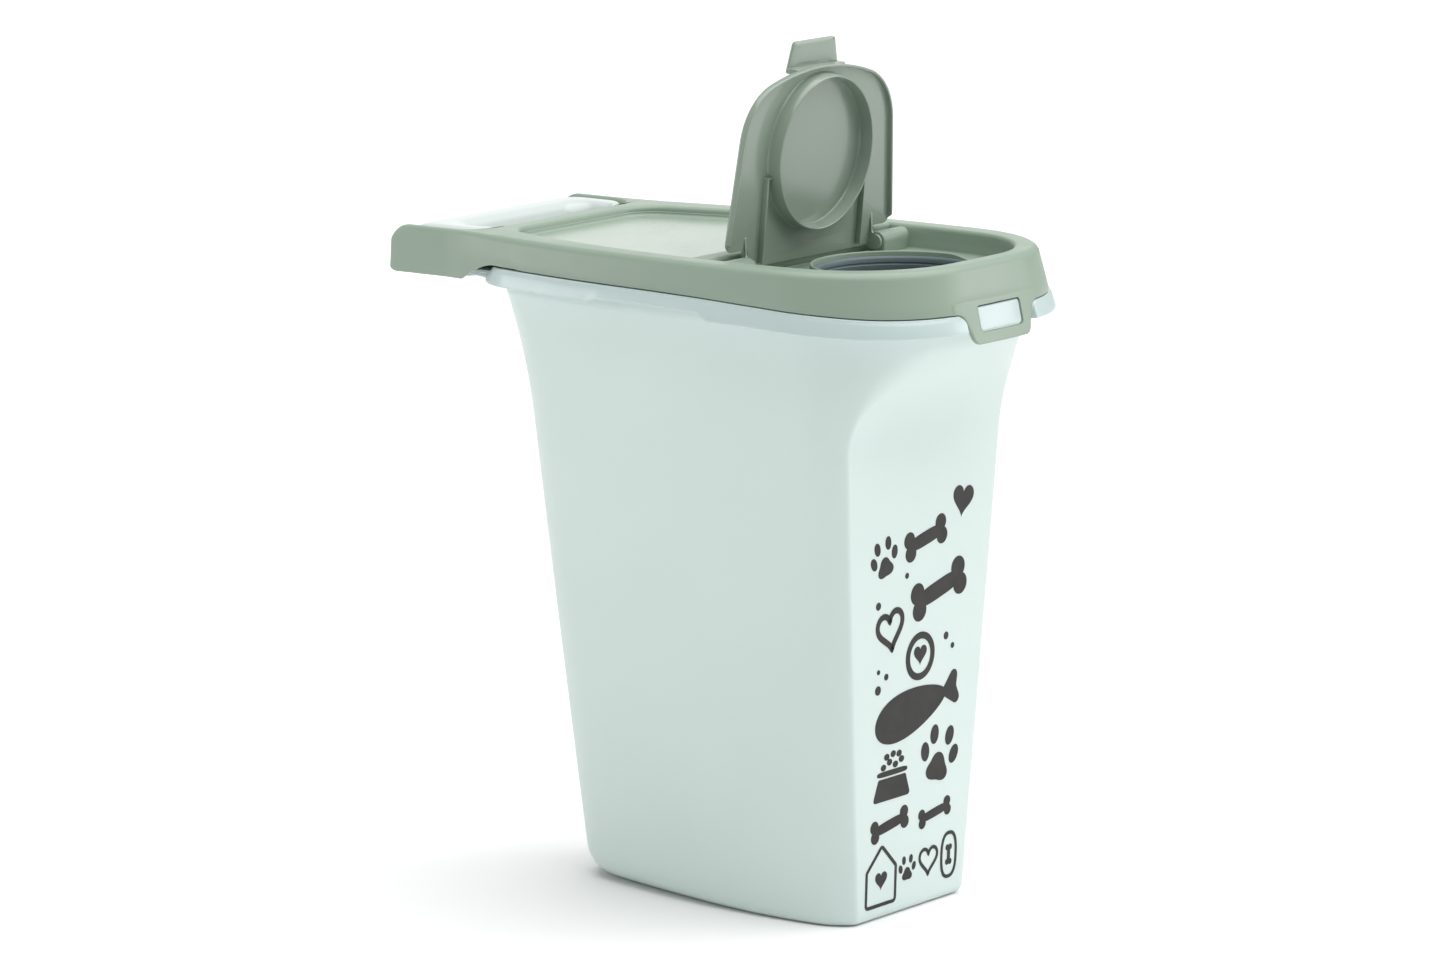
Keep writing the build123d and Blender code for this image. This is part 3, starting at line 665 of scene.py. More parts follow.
for s, c in zip(s7, c7):
    wall = pocket_outline(COVE_Z, COVE * (1 - c))
    deep = POCKET_DRAFT * (pocket_floor(wall[:, 1]) - COVE_Z)[:, None]
    wall = wall - (pocket_outline(COVE_Z, 1.0) - pocket_outline(COVE_Z)) * deep
    frame_rings.append(at_height(wall, pocket_floor(wall[:, 1]) + COVE * (1 - s)))
last = frame_rings[-1]
frame_rings.append(at_height(last[:, :2], last[:, 2] - PLATE))
outer_wall = pocket_outline(390.0, -PLATE)
frame_rings.append(at_height(outer_wall, np.minimum(pocket_floor(outer_wall[:, 1]) + 0.5, 391.5)))
frame_rings.append(at_height(outer_wall, PLATE_UNDER))
skin("lid_frame", frame_rings, "lid_body", replaces=("lid",), looped=True)

# %% [markdown]
# ## Floors, bridge, collar and hinge noses
# The two floors are plates whose edges are buried in the frame's cove. The rear one is a plain sheet, and
# the front one has a round hole, so it is drawn in polar coordinates about the spout: at every angle the
# rings run from the pocket's wall to the hole. The collar is a profile turned about the spout's axis, and
# its top slopes down towards the front, where the food leaves.

# %% Floors
def even_loop(points, count):
    """A closed line of points, walked in even steps."""
    ring = np.vstack([points, points[:1]])
    place = np.concatenate([[0], np.cumsum(np.linalg.norm(np.diff(ring, axis=0), axis=1))])
    steps = np.linspace(0, place[-1], count, endpoint=False)
    return np.column_stack([np.interp(steps, place, ring[:, k]) for k in range(ring.shape[1])])


def sheet_between(name, loop, centre, z_top, thickness, body):
    """A level plate inside a convex loop, built as rings that shrink to the centre."""
    centre = np.array(centre)
    shares = (0.02, 0.35, 0.7, 1.0)
    low = [at_height(centre + (loop - centre) * k, z_top - thickness) for k in shares]
    high = [at_height(centre + (loop - centre) * k, z_top) for k in shares[::-1]]
    skin(name, low + high, body)


bridge_middle = (BRIDGE_FRONT + BRIDGE_REAR) / 2
recess = pocket_outline(RECESS_Z, 0.4)
recess = recess[recess[:, 1] > bridge_middle]
sheet_between("lid_recess", even_loop(recess, 160), (0, 50), RECESS_Z + 0.01, PLATE, "lid_body")

# %% The well's floor, about the spout
turn = np.linspace(0, 2 * math.pi, 240, endpoint=False)
well = pocket_outline(WELL_Z, 0.4)
well = well[well[:, 1] < bridge_middle] - [0, SPOUT_Y]
well = even_loop(well, 1200)
well_angle = np.arctan2(well[:, 1], well[:, 0]) % (2 * math.pi)
order = np.argsort(well_angle)
reach = np.interp(turn, well_angle[order], np.linalg.norm(well, axis=1)[order], period=2 * math.pi)


def spout_ring(radius, z):
    """A ring about the spout's axis; radius and height may differ from angle to angle."""
    return at_height(np.column_stack([radius * np.cos(turn), SPOUT_Y + radius * np.sin(turn)]), z)


hole = (COLLAR_OUT + COLLAR_IN) / 2
spread = [spout_ring(reach + (hole - reach) * k, WELL_Z + 0.01) for k in (0, 0.25, 0.5, 0.75, 1)]
below = [ring - [0, 0, PLATE] for ring in spread[::-1]]
skin("lid_well", spread + below, "lid_body", looped=True)

# %% Bridge and collar
bridge_low, bridge_high = (-92.5, BRIDGE_FRONT, 381), (92.5, BRIDGE_REAR, LID_TOP - 0.05)
block("lid_bridge", bridge_low, bridge_high, 0, "lid_body", 2.0)

slope = ease(SPOUT_Y + COLLAR_OUT * np.sin(turn), -122, -104)
collar_top = COLLAR_TOP - 2.3 * (1 - slope)
lip = (COLLAR_OUT - COLLAR_IN) / 2
rings = [spout_ring(COLLAR_OUT - 1, COLLAR_LOW), spout_ring(COLLAR_OUT, COLLAR_LOW + 1)]
rings += [spout_ring(COLLAR_OUT + 1.2 * (1 - s), WELL_Z + 1.2 * (1 - c)) for s, c in zip(s5, c5)]
arc = np.linspace(0, math.pi, 9)
rings += [
    spout_ring(COLLAR_OUT - lip * (1 - math.cos(a)), collar_top - lip * (1 - math.sin(a))) for a in arc
]
rings += [spout_ring(COLLAR_IN, z) for z in (384, 376.2)]
ledge = ((47.8, 376.0), (47.5, 375.7), (47.5, 374.3), (47.8, COLLAR_LOW))
rings += [spout_ring(radius, z) for radius, z in ledge]
skin("spout_collar", rings, "lid_body", looped=True)

# %% Hinge noses
NOSE_RADIUS = 6.0
NOSE_STEPS = ((64.2, 1.0), (64.3, 0.5), (64.7, 0.15), (65.2, 0), (78, 0), (91, 0), (92, 1))

for side, word in ((-1, "left"), (1, "right")):
    rings = []
    angle = np.linspace(0, math.pi, 15)
    for x, inset in NOSE_STEPS:
        radius = NOSE_RADIUS - inset
        top = np.column_stack([hinge[1] + radius * np.cos(angle), hinge[2] + radius * np.sin(angle)])
        base = [[hinge[1] - radius, WELL_Z - 1], [hinge[1] + radius, WELL_Z - 1]]
        flat = np.vstack([top, base])
        rings.append(np.column_stack([np.full(len(flat), side * x), flat]))
    skin(f"hinge_nose_{word}", rings, "lid_body")

# %% [markdown]
# ## The lid's arms
# Two arms run back from the lid, outside the handle. Each starts on the lid's own side, leaves it in a
# slow bend, and its inner side meets the lid's rear edge in a hollow web. Seen from above an arm is one
# outline, so it is made from rings of that outline. Every ring moves inwards along the outline's own
# normals to round the upper edge, and its height depends on y, which gives the arched underside and the
# rounded tip. Seen through the arch, the arm's root is hollow, so the lowest rings climb up inside it.

# %% Outline of an arm
ARM_OUT, ARM_IN, WEB_X, WEB_Y, WEB_R = 85.3, 79.3, 58.3, 173.0, 21.0
ARM_LEAVES, ARM_STRAIGHT, TIP_Y = 118.0, 172.0, 211.5


def hermite(a, b, slope_a, slope_b, y):
    """A smooth x for each y from point a to point b, with a given dx/dy at both ends."""
    t = (y - a[1]) / (b[1] - a[1])
    span = b[1] - a[1]
    h = [2 * t**3 - 3 * t**2 + 1, t**3 - 2 * t**2 + t, -2 * t**3 + 3 * t**2, t**3 - t**2]
    return h[0] * a[0] + h[1] * span * slope_a + h[2] * b[0] + h[3] * span * slope_b


def side_of_lid(y):
    """Half the lid's width at its top edge, for each y along its side."""
    return SKIRT_HALF - SIDE_BOW + np.sqrt(SIDE_BOW**2 - (y - WIDEST_Y) ** 2)


y_out = np.linspace(ARM_STRAIGHT, ARM_LEAVES, 40)
bend_from, bend_to = (side_of_lid(ARM_LEAVES), ARM_LEAVES), (ARM_OUT, ARM_STRAIGHT)
bend = hermite(bend_from, bend_to, -(ARM_LEAVES - WIDEST_Y) / 840, -0.02, y_out)
y_side = np.linspace(ARM_LEAVES, 96, 14)[1:]
buried = 0.3 * ease(ARM_LEAVES - y_side, 0, 10) + 3 * ease(ARM_LEAVES - y_side, 12, 22)
outer_side = np.vstack([
    np.column_stack([np.full(30, ARM_OUT), np.linspace(TIP_Y, ARM_STRAIGHT, 30, endpoint=False)]),
    np.column_stack([bend, y_out]),
    np.column_stack([side_of_lid(y_side) - buried, y_side]),
])
web = np.linspace(-math.pi / 2, 0, 26)
hide = np.linspace(0.05, 1.35, 14)
inner_side = np.vstack([
    [[82, 96], [79.5, 112]],
    np.array([47.0, 114.0]) + 31.5 * np.column_stack([np.cos(hide), np.sin(hide)]),
    [[51, 147], [50.5, 151.4], [54, 151.75]],
    np.column_stack([WEB_X + WEB_R * np.cos(web), WEB_Y + WEB_R * np.sin(web)]),
    np.column_stack([np.full(26, ARM_IN), np.linspace(176, TIP_Y, 26)]),
])
tip = np.linspace(math.pi, 0, 9)
arm_middle, arm_half = (ARM_OUT + ARM_IN) / 2, (ARM_OUT - ARM_IN) / 2
tip_arc = np.column_stack([arm_middle + arm_half * np.cos(tip), TIP_Y + 1.5 * np.sin(tip)])
arm_plan = np.vstack([inner_side, tip_arc[1:-1], outer_side])
spine = np.column_stack([
    np.interp(arm_plan[:, 1], (96, 130, 152, 175), (88, 84, 82, 82.3)), np.clip(arm_plan[:, 1], 100, 201)
])
ahead = np.roll(arm_plan, -1, 0) - np.roll(arm_plan, 1, 0)
inwards = np.column_stack([-ahead[:, 1], ahead[:, 0]]) / np.linalg.norm(ahead, axis=1)[:, None]
inwards *= np.sign(np.sum(inwards * (spine - arm_plan)))
is_outer = np.arange(len(arm_plan)) >= len(inner_side) + 7
draft = np.interp(arm_plan[:, 1], (ARM_LEAVES, 170), (SIDE_DRAFT, SIDE_DRAFT / 2)) * is_outer
print("an arm's outline has", len(arm_plan), "points and reaches back to", arm_plan[:, 1].max())

# %% Heights of an arm
TIP_DROP, TIP_RISE = 13.0, 6.0
ARCH_Y = (100, 118, 129, 136, 142, 147, 150.5, 154.5)
ARCH_Z = (378.2, 378.3, 378.5, 377.0, 374.8, 372.4, 370.3, ARM_BOTTOM)


def arm_top(y):
    """Height of an arm's upper face: level, then a quarter circle down at its tip."""
    fall = np.clip((y - ARM_END + TIP_DROP) / TIP_DROP, 0, 1)
    return LID_TOP - 0.05 - TIP_DROP * (1 - np.sqrt(1 - fall**2))


def arm_low(y):
    """Height of an arm's underside: an arch behind the skirt, then level, then a round up at the tip."""
    rise = np.clip((y - 207) / TIP_RISE, 0, 1)
    return np.interp(y, ARCH_Y, ARCH_Z) + TIP_RISE * (1 - np.sqrt(1 - rise**2))


def arm_hollow(y):
    """How deep an arm is hollow from below: its wide root is thin-walled, and its narrow end is solid."""
    return 0.4 + 10.6 * (1 - ease(y, 148, 164))


def arm_ring(inset, down=None, up=None):
    """One ring of an arm, at a depth below its top or at a lift above its underside."""
    plan = arm_plan + inwards * np.asarray(inset)[..., None]
    z = arm_top(plan[:, 1]) - down if up is None else arm_low(plan[:, 1]) + up
    plan = plan + np.column_stack([draft * (LID_TOP - z), np.zeros(len(plan))])
    return at_height(plan, np.maximum(z, arm_low(plan[:, 1]) + (0 if up is not None else 1)))


# %% Make the arms
shoulder = np.interp(arm_plan[:, 1], (ARM_LEAVES, 160), (SHOULDER, 2.6))
shoulder = np.where(is_outer, shoulder, np.interp(arm_plan[:, 1], (152, 172), (SHOULDER, 2.4)))
low_edge, top_edge = arm_ring(0.8, up=0.0), arm_ring(shoulder, down=0.0)
hollow = arm_hollow(arm_plan[:, 1])
mid_low = at_height(spine, arm_low(spine[:, 1]) + arm_hollow(spine[:, 1]))
roof_edge = arm_ring(2.3, up=hollow)
mid_top = at_height(spine, arm_top(spine[:, 1]))
rings = [mid_low + (roof_edge - mid_low) * k for k in (0.002, 0.5, 1)]
rings += [arm_ring(2.1, up=hollow / 2), arm_ring(2.0, up=0.3), arm_ring(1.7, up=0.0), low_edge]
rings += [arm_ring(0.25, up=0.2), arm_ring(0.0, up=0.8)]
rings += [arm_ring(0.0, down=9.0), arm_ring(0.0, down=6.0)]
rings += [arm_ring(shoulder * (1 - c), down=shoulder * (1 - s)) for s, c in zip(s7, c7)]
rings += [top_edge + (mid_top - top_edge) * k for k in (0.3, 0.65, 0.998)]
arm_rings = np.array(rings)
skin("lid_arm_right", arm_rings, "lid_body")
skin("lid_arm_left", arm_rings * [-1, 1, 1], "lid_body")

# %% [markdown]
# ## The catch
# The catch hangs from the front of the skirt as one thin tongue with a window for the lug. It follows the
# skirt's curve, so it is drawn flat, as an outline and a window, and each point takes its depth from the
# skirt. Both loops are read in polar coordinates about the window's middle, so that they pair up point
# by point. The top dips behind the skirt's face, which hides the join.

# %% Outline of the catch
def polar(loop, centre, angles):
    """A loop's distance from a centre at each angle, for a loop that every ray crosses once."""
    loop = even_loop(loop, 2400) - centre
    around = np.arctan2(loop[:, 1], loop[:, 0]) % (2 * math.pi)
    by_angle = np.argsort(around)
    return np.interp(angles, around[by_angle], np.linalg.norm(loop, axis=1)[by_angle], period=2 * math.pi)


catch_middle = np.array([0.0, 370.4])
window_line = rounded_polygon([(-21.6, 357.0), (21.6, 357.0), (21.6, 372.4), (-21.6, 372.4)], [2.5] * 4)
catch_turn = np.unique(np.concatenate([
    np.linspace(0, 2 * math.pi, 300, endpoint=False),
    np.arctan2(catch_line[:, 1] - catch_middle[1], catch_line[:, 0]) % (2 * math.pi),
    np.arctan2(window_line[:, 1] - catch_middle[1], window_line[:, 0]) % (2 * math.pi),
]).round(5))
ray = np.stack([np.cos(catch_turn), np.sin(catch_turn)], -1)
outer_far = polar(catch_line, catch_middle, catch_turn)
inner_far = polar(window_line, catch_middle, catch_turn)
print("the catch is read at", len(catch_turn), "angles")

# %% Make the catch
def catch_ring(far, depth):
    """A ring of the catch at a distance from its middle, and at a depth behind the skirt's face."""
    flat = catch_middle + ray * far[:, None]
    x, z = flat[:, 0], flat[:, 1]
    hidden = 1.4 * np.maximum(ease(z, 375.7, 376.5), ease(np.abs(x), 42.8, 43.8))
    return np.column_stack([x, skirt_face(x, z) - 0.04 + depth + hidden, z])


s4, c4 = quarter(5)
soft = 0.9
rings = [catch_ring(outer_far - soft * (1 - s), soft * (1 - c)) for s, c in zip(s4, c4)]
back_out = [(0.3 * (1 - s), CATCH_WALL - 0.3 * (1 - c)) for s, c in zip(s4, c4)]
rings += [catch_ring(outer_far - inset, depth) for inset, depth in back_out[::-1]]
rings += [catch_ring(inner_far + inset, depth) for inset, depth in back_out]
rings += [catch_ring(inner_far + 0.6 * (1 - s), 0.6 * (1 - c)) for s, c in zip(s4[::-1], c4[::-1])]
face_from, face_to = inner_far + 0.6, outer_far - soft
rings += [catch_ring(face_from + (face_to - face_from) * k, 0.0) for k in np.linspace(0.1, 0.9, 9)]
skin("catch_tongue", rings, "catch_body", replaces=("catch_tab",), looped=True)

# %% [markdown]
# ### The lug
# The lug fills the catch's window from behind. It leans with the skirt, and its face is nearly flat, with
# a soft edge, so its rings are its outline drawn in to a share of its size, each at its own depth.

# %% Make the lug
lug_line = even_loop(
    rounded_polygon([(-20.9, 357.7), (20.9, 357.7), (20.9, 371.7), (-20.9, 371.7)], [2.0] * 4), 200
)


def lug_ring(share, depth):
    """A ring of the lug: its outline drawn in to a share of its size, behind the skirt's face."""
    middle = np.array([0.0, 364.7])
    flat = middle + (lug_line - middle) * np.asarray(share)
    x, z = flat[:, 0], flat[:, 1]
    return np.column_stack([x, skirt_face(x, z) + depth, z])


steps = [(0.02, 0.5), (0.5, 0.5), ((0.95, 0.86), 0.5), ((0.97, 0.92), 0.55), ((0.985, 0.965), 0.7)]
steps += [((0.996, 0.99), 1.0), (1, 1.5), (1, 5.0), (0.9, 5.5), (0.02, 5.5)]
skin("catch_lug", [lug_ring(share, depth) for share, depth in steps], "bin_body")

# %% [markdown]
# ## The spout's soft ring
# A rubber-like ring lines the spout. It is a turned profile with a rounded lip and one shallow groove.

# %% Make the soft ring
low, high = seal_low[2], seal_high[2]
profile = [(47.2, low), (50.1, low), (50.15, low + 0.5)]
lip_down = [(50.15, 1.0), (49.9, 0.3), (49.3, 0), (48.6, 0.1), (48.3, 0.5), (48.0, 0.5), (47.7, 0.3)]
lip_down += [(47.3, 0.8), (47.0, 1.4), (47.0, 3.4), (47.4, 3.9), (47.4, 4.5), (47.0, 5.0)]
profile += [(radius, high - down) for radius, down in lip_down]
profile += [(47.0, low + 0.4)]
rings = [spout_ring(radius, z) for radius, z in profile]
skin("spout_ring", rings, "lid_body", replaces=("spout_seal",), looped=True)

# %% [markdown]
# ## The handle
# The grip is a bar bent into a wide U that is open underneath. Its section is a flattened half tube, with
# a crown like a pillow, so the piece is a sweep. At every step along the U one point slides on the outer
# line and its partner on the inner line, and the crown spans the two. At both feet the hollow closes,
# and the crown comes down where the section is narrow.

# %% Lines of the handle
HANDLE_TOP, HANDLE_LOW = handle_high[2], handle_low[2]
HANDLE_WALL = 2.6


def arc_points(centre, radius, start, end, count):
    """Points on an arc, from one angle to another in degrees."""
    turn_by = np.radians(np.linspace(start, end, count))
    return np.array(centre) + radius * np.stack([np.cos(turn_by), np.sin(turn_by)], -1)


def straight_points(a, b, count):
    """Points on a straight line, both ends included."""
    return np.array(a) + np.linspace(0, 1, count)[:, None] * (np.array(b) - np.array(a))


front_y, rear_y = handle_low[1], handle_high[1]
outer_line = np.vstack([
    arc_points((57.6, front_y + 21), 21, -90, 0, 26),
    straight_points((78.6, front_y + 22), (78.6, rear_y - 9), 12),
    arc_points((69.6, rear_y - 9), 9, 4, 90, 14),
    straight_points((67, rear_y), (0, rear_y), 24),
])
inner_line = np.vstack([
    straight_points((55.5, front_y), (55.8, 160), 26),
    straight_points((55.9, 160.6), (56, 165), 12),
    arc_points((42.5, 166), 13.5, 3, 90, 14),
    straight_points((40.5, 179.5), (0, 179.5), 24),
])
outer_line = np.vstack([outer_line, (outer_line * [-1, 1])[-2::-1]])
inner_line = np.vstack([inner_line, (inner_line * [-1, 1])[-2::-1]])
print("the sweep has", len(outer_line), "steps")

# %% Sweep the handle
def crown(turn_by, n=2.7):
    """A pillow-shaped arch over a width of 1: how far across, and how high, at each step."""
    c, s = np.cos(turn_by), np.sin(turn_by)
    return 0.5 - 0.5 * np.sign(c) * np.abs(c) ** (2 / n), np.abs(s) ** (2 / n)


over = np.linspace(0, math.pi, 33)
across, rise = crown(over)
rings = []
count = len(outer_line)
for k, (a, b) in enumerate(zip(outer_line, inner_line)):
    width = np.linalg.norm(b - a)
    from_end = min(k, count - 1 - k) / 26
    top = HANDLE_TOP - 9.0 * (1 - ease(width, 0, 17)) ** 2
    spring = HANDLE_TOP - 12.5
    hollow = float(ease(from_end, 0.12, 0.5))
    outside = [(0, HANDLE_LOW), (0, HANDLE_LOW + 5), *zip(across, spring + (top - spring) * rise)]
    outside += [(1, HANDLE_LOW + 5), (1, HANDLE_LOW)]
    wall = min(HANDLE_WALL / width, 0.45)
    roof = HANDLE_LOW + (top - 4 - HANDLE_LOW) * hollow
    knee = HANDLE_LOW + (spring - 1 - HANDLE_LOW) * hollow
    inside = [(1 - wall, HANDLE_LOW), (1 - wall, knee)]
    inside += [(1 - wall - (1 - 2 * wall) * u, knee + (roof - knee) * v) for u, v in zip(across, rise)]
    inside += [(wall, knee), (wall, HANDLE_LOW)]
    shape = np.array(outside + inside)
    flat = a + shape[:, :1] * (b - a)
    rings.append(np.column_stack([flat, shape[:, 1]]))
skin("handle", rings, "bin_body", replaces=("carry_handle",))

# %% [markdown]
# ## The pouring flap
# The flap stands open on two pins. It is drawn flat, as it lies when it is shut, with x across it, v
# from the hinge towards its tip as a negative number, and w through its thickness. One function turns
# all of that up by the hinge's open angle. The plate has an even lip round its edge, so its rings are
# its outline moved inwards by a little more each time.

# %% The flap's coordinates
IN_FACE, OUT_FACE, LIP_W, LIP = 4.3, 6.1, 1.4, 1.7


def flap_place(points):
    """From the flap's own flat coordinates (x, v, w) to its place, standing open on its hinge."""
    x, v, w = np.moveaxis(np.asarray(points, float), -1, 0)
    y = hinge[1] + v * math.cos(OPEN) + w * math.sin(OPEN)
    z = hinge[2] - v * math.sin(OPEN) + w * math.cos(OPEN)
    return np.stack([x + hinge[0], y, z], -1)


def moved_in(loop, inset):
    """A closed outline moved inwards by an inset, along its own normals."""
    ahead = np.roll(loop, -1, 0) - np.roll(loop, 1, 0)
    normal = np.column_stack([-ahead[:, 1], ahead[:, 0]])
    normal /= np.linalg.norm(ahead, axis=1)[:, None]
    area = np.sum(loop[:, 0] * np.roll(loop[:, 1], -1) - np.roll(loop[:, 0], -1) * loop[:, 1])
    return loop + normal * inset * np.sign(area)


def flap_slab(name, loop, profile, lip_from=None, replaces=()):
    """A plate from its outline and (inset, w) steps. A negative inset is a share of the way to the rim,
    and a lip fades out over the given span of v."""
    centre = loop.mean(0)
    rings = []
    for inset, w in profile:
        flat = moved_in(loop, max(inset, 0)) if inset >= 0 else centre + (loop - centre) * -inset
        if lip_from is not None:
            w = np.where(w < IN_FACE, w + (IN_FACE - w) * ease(loop[:, 1], *lip_from), w)
        rings.append(flap_place(at_height(flat, w)))
    skin(name, rings, "flap_body", replaces)


# %% [markdown]
# ### The flap's outline
# A straight foot, two straight sides that lean in, and an arched tip. The side and the arch are joined by
# a large arc. Its centre lies at one distance from the side's line and at another from the arch's centre,
# which is a quadratic equation for how far along the side the arc begins.

# %% The flap's outline
FOOT_V, FOOT_HALF, SIDE_V, SIDE_HALF, TIP_V, FLAP_ROUND = -9.0, 81.7, -96.5, 71.2, -113.2, 38.0
arch_r = (SIDE_HALF**2 + (SIDE_V - TIP_V) ** 2) / (2 * (SIDE_V - TIP_V))
arch_centre = np.array([0.0, TIP_V + arch_r])
side_dir = np.array([SIDE_HALF - FOOT_HALF, SIDE_V - FOOT_V])
side_dir /= np.linalg.norm(side_dir)
side_in = np.array([side_dir[1], -side_dir[0]])
foot = np.array([FOOT_HALF, FOOT_V])
start = foot + side_in * FLAP_ROUND - arch_centre
half_b, c = start @ side_dir, start @ start - (arch_r - FLAP_ROUND) ** 2
run = -half_b + math.sqrt(half_b * half_b - c)
round_centre = foot + side_in * FLAP_ROUND + side_dir * run
to_arch = round_centre - arch_centre
angle_a = math.degrees(math.atan2(-side_in[1], -side_in[0]))
angle_b = math.degrees(math.atan2(to_arch[1], to_arch[0]))
half_flap = np.vstack([
    straight_points((0, FOOT_V), (FOOT_HALF - 6.2, FOOT_V), 24),
    arc_points((FOOT_HALF - 6.4, FOOT_V - 5.6), 5.6, 86, -4, 12),
    straight_points(foot + side_dir * 7.5, foot + side_dir * (run - 1), 34),
    arc_points(round_centre, FLAP_ROUND, angle_a, angle_b, 30),
    arc_points(arch_centre, arch_r, angle_b, -90, 30)[1:],
])
flap_loop = np.vstack([half_flap, (half_flap * [-1, 1])[-2:0:-1]])
print("flap outline runs from", flap_loop.min(0).round(1), "to", flap_loop.max(0).round(1))

# %% Make the flap's plate
profile = [(-0.02, IN_FACE), (-0.5, IN_FACE), (LIP + 2.0, IN_FACE), (LIP + 0.8, IN_FACE)]
profile += [(LIP + 0.2, IN_FACE - 0.2)]
profile += [(LIP, IN_FACE - 1.0), (LIP, LIP_W + 0.6), (LIP - 0.25, LIP_W + 0.15), (LIP - 0.7, LIP_W)]
profile += [(0.5, LIP_W), (0.15, LIP_W + 0.15), (0.0, LIP_W + 0.5), (0.0, OUT_FACE - 1.4)]
profile += [(1.4 * (1 - s), OUT_FACE - 1.4 * (1 - c)) for s, c in zip(s4[::-1], c4[::-1])]
profile += [(-0.9, OUT_FACE), (-0.5, OUT_FACE), (-0.02, OUT_FACE)]
flap_slab("flap_plate", flap_loop, profile, lip_from=(-14.5, -11.5), replaces=("pour_flap",))

# %% Make its plug ring
PLUG_V, PLUG_OUT, PLUG_IN, PLUG_LOW = -62.0, 46.4, 44.6, -4.9


def plug_ring(radius, w):
    """A ring about the plug's axis, in the flap's coordinates."""
    flat = np.column_stack([radius * np.cos(turn), PLUG_V + radius * np.sin(turn)])
    return flap_place(at_height(flat, w))


profile = [(PLUG_OUT, IN_FACE + 0.5), (PLUG_OUT + 0.8, IN_FACE), (PLUG_OUT + 0.2, IN_FACE - 0.5)]
profile += [(PLUG_OUT, IN_FACE - 1.4), (PLUG_OUT - 0.1, PLUG_LOW + 0.9), (PLUG_OUT - 0.4, PLUG_LOW + 0.2)]
profile += [(PLUG_OUT - 0.9, PLUG_LOW), (PLUG_IN + 0.4, PLUG_LOW + 0.2), (PLUG_IN + 0.1, PLUG_LOW + 0.8)]
profile += [(PLUG_IN, IN_FACE - 1.4), (PLUG_IN - 0.2, IN_FACE - 0.5), (PLUG_IN - 0.8, IN_FACE)]
profile += [(PLUG_IN - 0.2, IN_FACE + 0.5)]
skin("flap_plug", [plug_ring(radius, w) for radius, w in profile], "flap_body", looped=True)

# %% Make its foot and ribs
def flap_block(name, low, high, radius=0.35):
    """A rounded block in the flap's coordinates, carried through its thickness."""
    low, high = np.array(low, float), np.array(high, float)
    flat = rounded_rectangle(high[0] - low[0], high[1] - low[1], radius) + (low[:2] + high[:2]) / 2
    cut = radius * 0.7
    steps = [(cut, low[2]), (cut * 0.3, low[2] + cut * 0.3), (0, low[2] + cut)]
    steps += [(0, high[2] - cut), (cut * 0.3, high[2] - cut * 0.3), (cut, high[2])]
    skin(name, [flap_place(at_height(moved_in(flat, inset), w)) for inset, w in steps], "flap_body")


flap_block("flap_foot", (-63.8, -14, IN_FACE + 0.05), (63.8, 2.5, OUT_FACE - 0.05), 0.8)
for side, word in ((-1, "left"), (1, "right")):
    x_in, x_out = sorted((side * 48.0, side * 49.3))
    flap_block(f"flap_rib_{word}", (x_in, -50.6, 0.6), (x_out, 0, IN_FACE + 0.3))
    x_in, x_out = sorted((side * 44.2, side * 49.2))
    flap_block(f"flap_hook_{word}", (x_in, -51.0, 0.6), (x_out, -49.8, IN_FACE + 0.3))

# %% [markdown]
# ### Ears, pins and thumb tab
# Each ear is a small disc round the hinge axis that runs up into the plate, drawn from the side and given
# its thickness along x. A pin sticks out of it into the lid's nose. The thumb tab stands a little behind
# the plate on a short step, so a fingertip finds it.

# %% Make the ears and pins
EAR_STEPS = ((61.7, 0.4), (61.8, 0.1), (62.1, 0), (63.4, 0), (63.7, 0.1), (63.8, 0.4))
PIN_STEPS = ((62.5, 2.4), (66, 2.4), (69.4, 2.4), (69.8, 2.2), (70.0, 1.8))
ear_line = np.vstack([
    arc_points((0, 0), 4.8, -200, 10, 22),
    [[4.9, 2.5], [3.6, 5.4], [-18, 5.4], [-17, 4.2], [-10.5, 3.2], [-6.2, 2.6]],
])
ear_line = even_loop(ear_line, 80)
for side, word in ((-1, "left"), (1, "right")):
    rings = []
    for x, inset in EAR_STEPS:
        flat = moved_in(ear_line, inset)
        rings.append(flap_place(np.column_stack([np.full(len(flat), side * x), flat])))
    skin(f"flap_ear_{word}", rings, "flap_body")
    around = np.linspace(0, 2 * math.pi, 36, endpoint=False)
    rings = []
    for x, radius in PIN_STEPS:
        flat = radius * np.column_stack([np.cos(around), np.sin(around)])
        rings.append(flap_place(np.column_stack([np.full(36, side * x), flat])))
    skin(f"flap_pin_{word}", rings, "flap_body")

# %% Make the thumb tab
tab_corners = [(-25, -109.5), (25, -109.5), (20.2, -127.6), (-20.2, -127.6)]
tab_line = even_loop(rounded_polygon(tab_corners, [1, 1, 2.8, 2.8]), 220)
tab_steps = [(-0.02, 10.3), (-0.6, 10.3), (0.5, 10.3), (0.1, 10.5), (0, 10.9), (0, 11.7)]
tab_steps += [(0.15, 12.1), (0.6, 12.3), (-0.6, 12.3), (-0.02, 12.3)]
flap_slab("flap_thumb_tab", tab_line, tab_steps)
flap_block("flap_tab_step", (-24.5, -112.6, 4.6), (24.5, -109.0, 12.2), 0.9)

# %% [markdown]
# ## The print on the front
# The front panel carries a dark print. Here it is a column of plain pet motifs: paws, bones, a fish, a
# bowl, a heart and a house. Each motif is built from flat drops of ink, and every drop is a closed curve
# about its own centre, given by a formula. They lie a sixth of a millimetre proud of the panel and follow
# its lean. Each drop lies a hair higher than the one before, so that no two faces share a level where
# drops overlap. All of them go into one mesh.

# %% Drops of ink
INK, LAYER, LAYERS = 0.16, 0.012, 7
drop_turn = np.linspace(0, 2 * math.pi, 56, endpoint=False)
ink_points, ink_quads, ink_tris, ink_count = [], [], [], 0


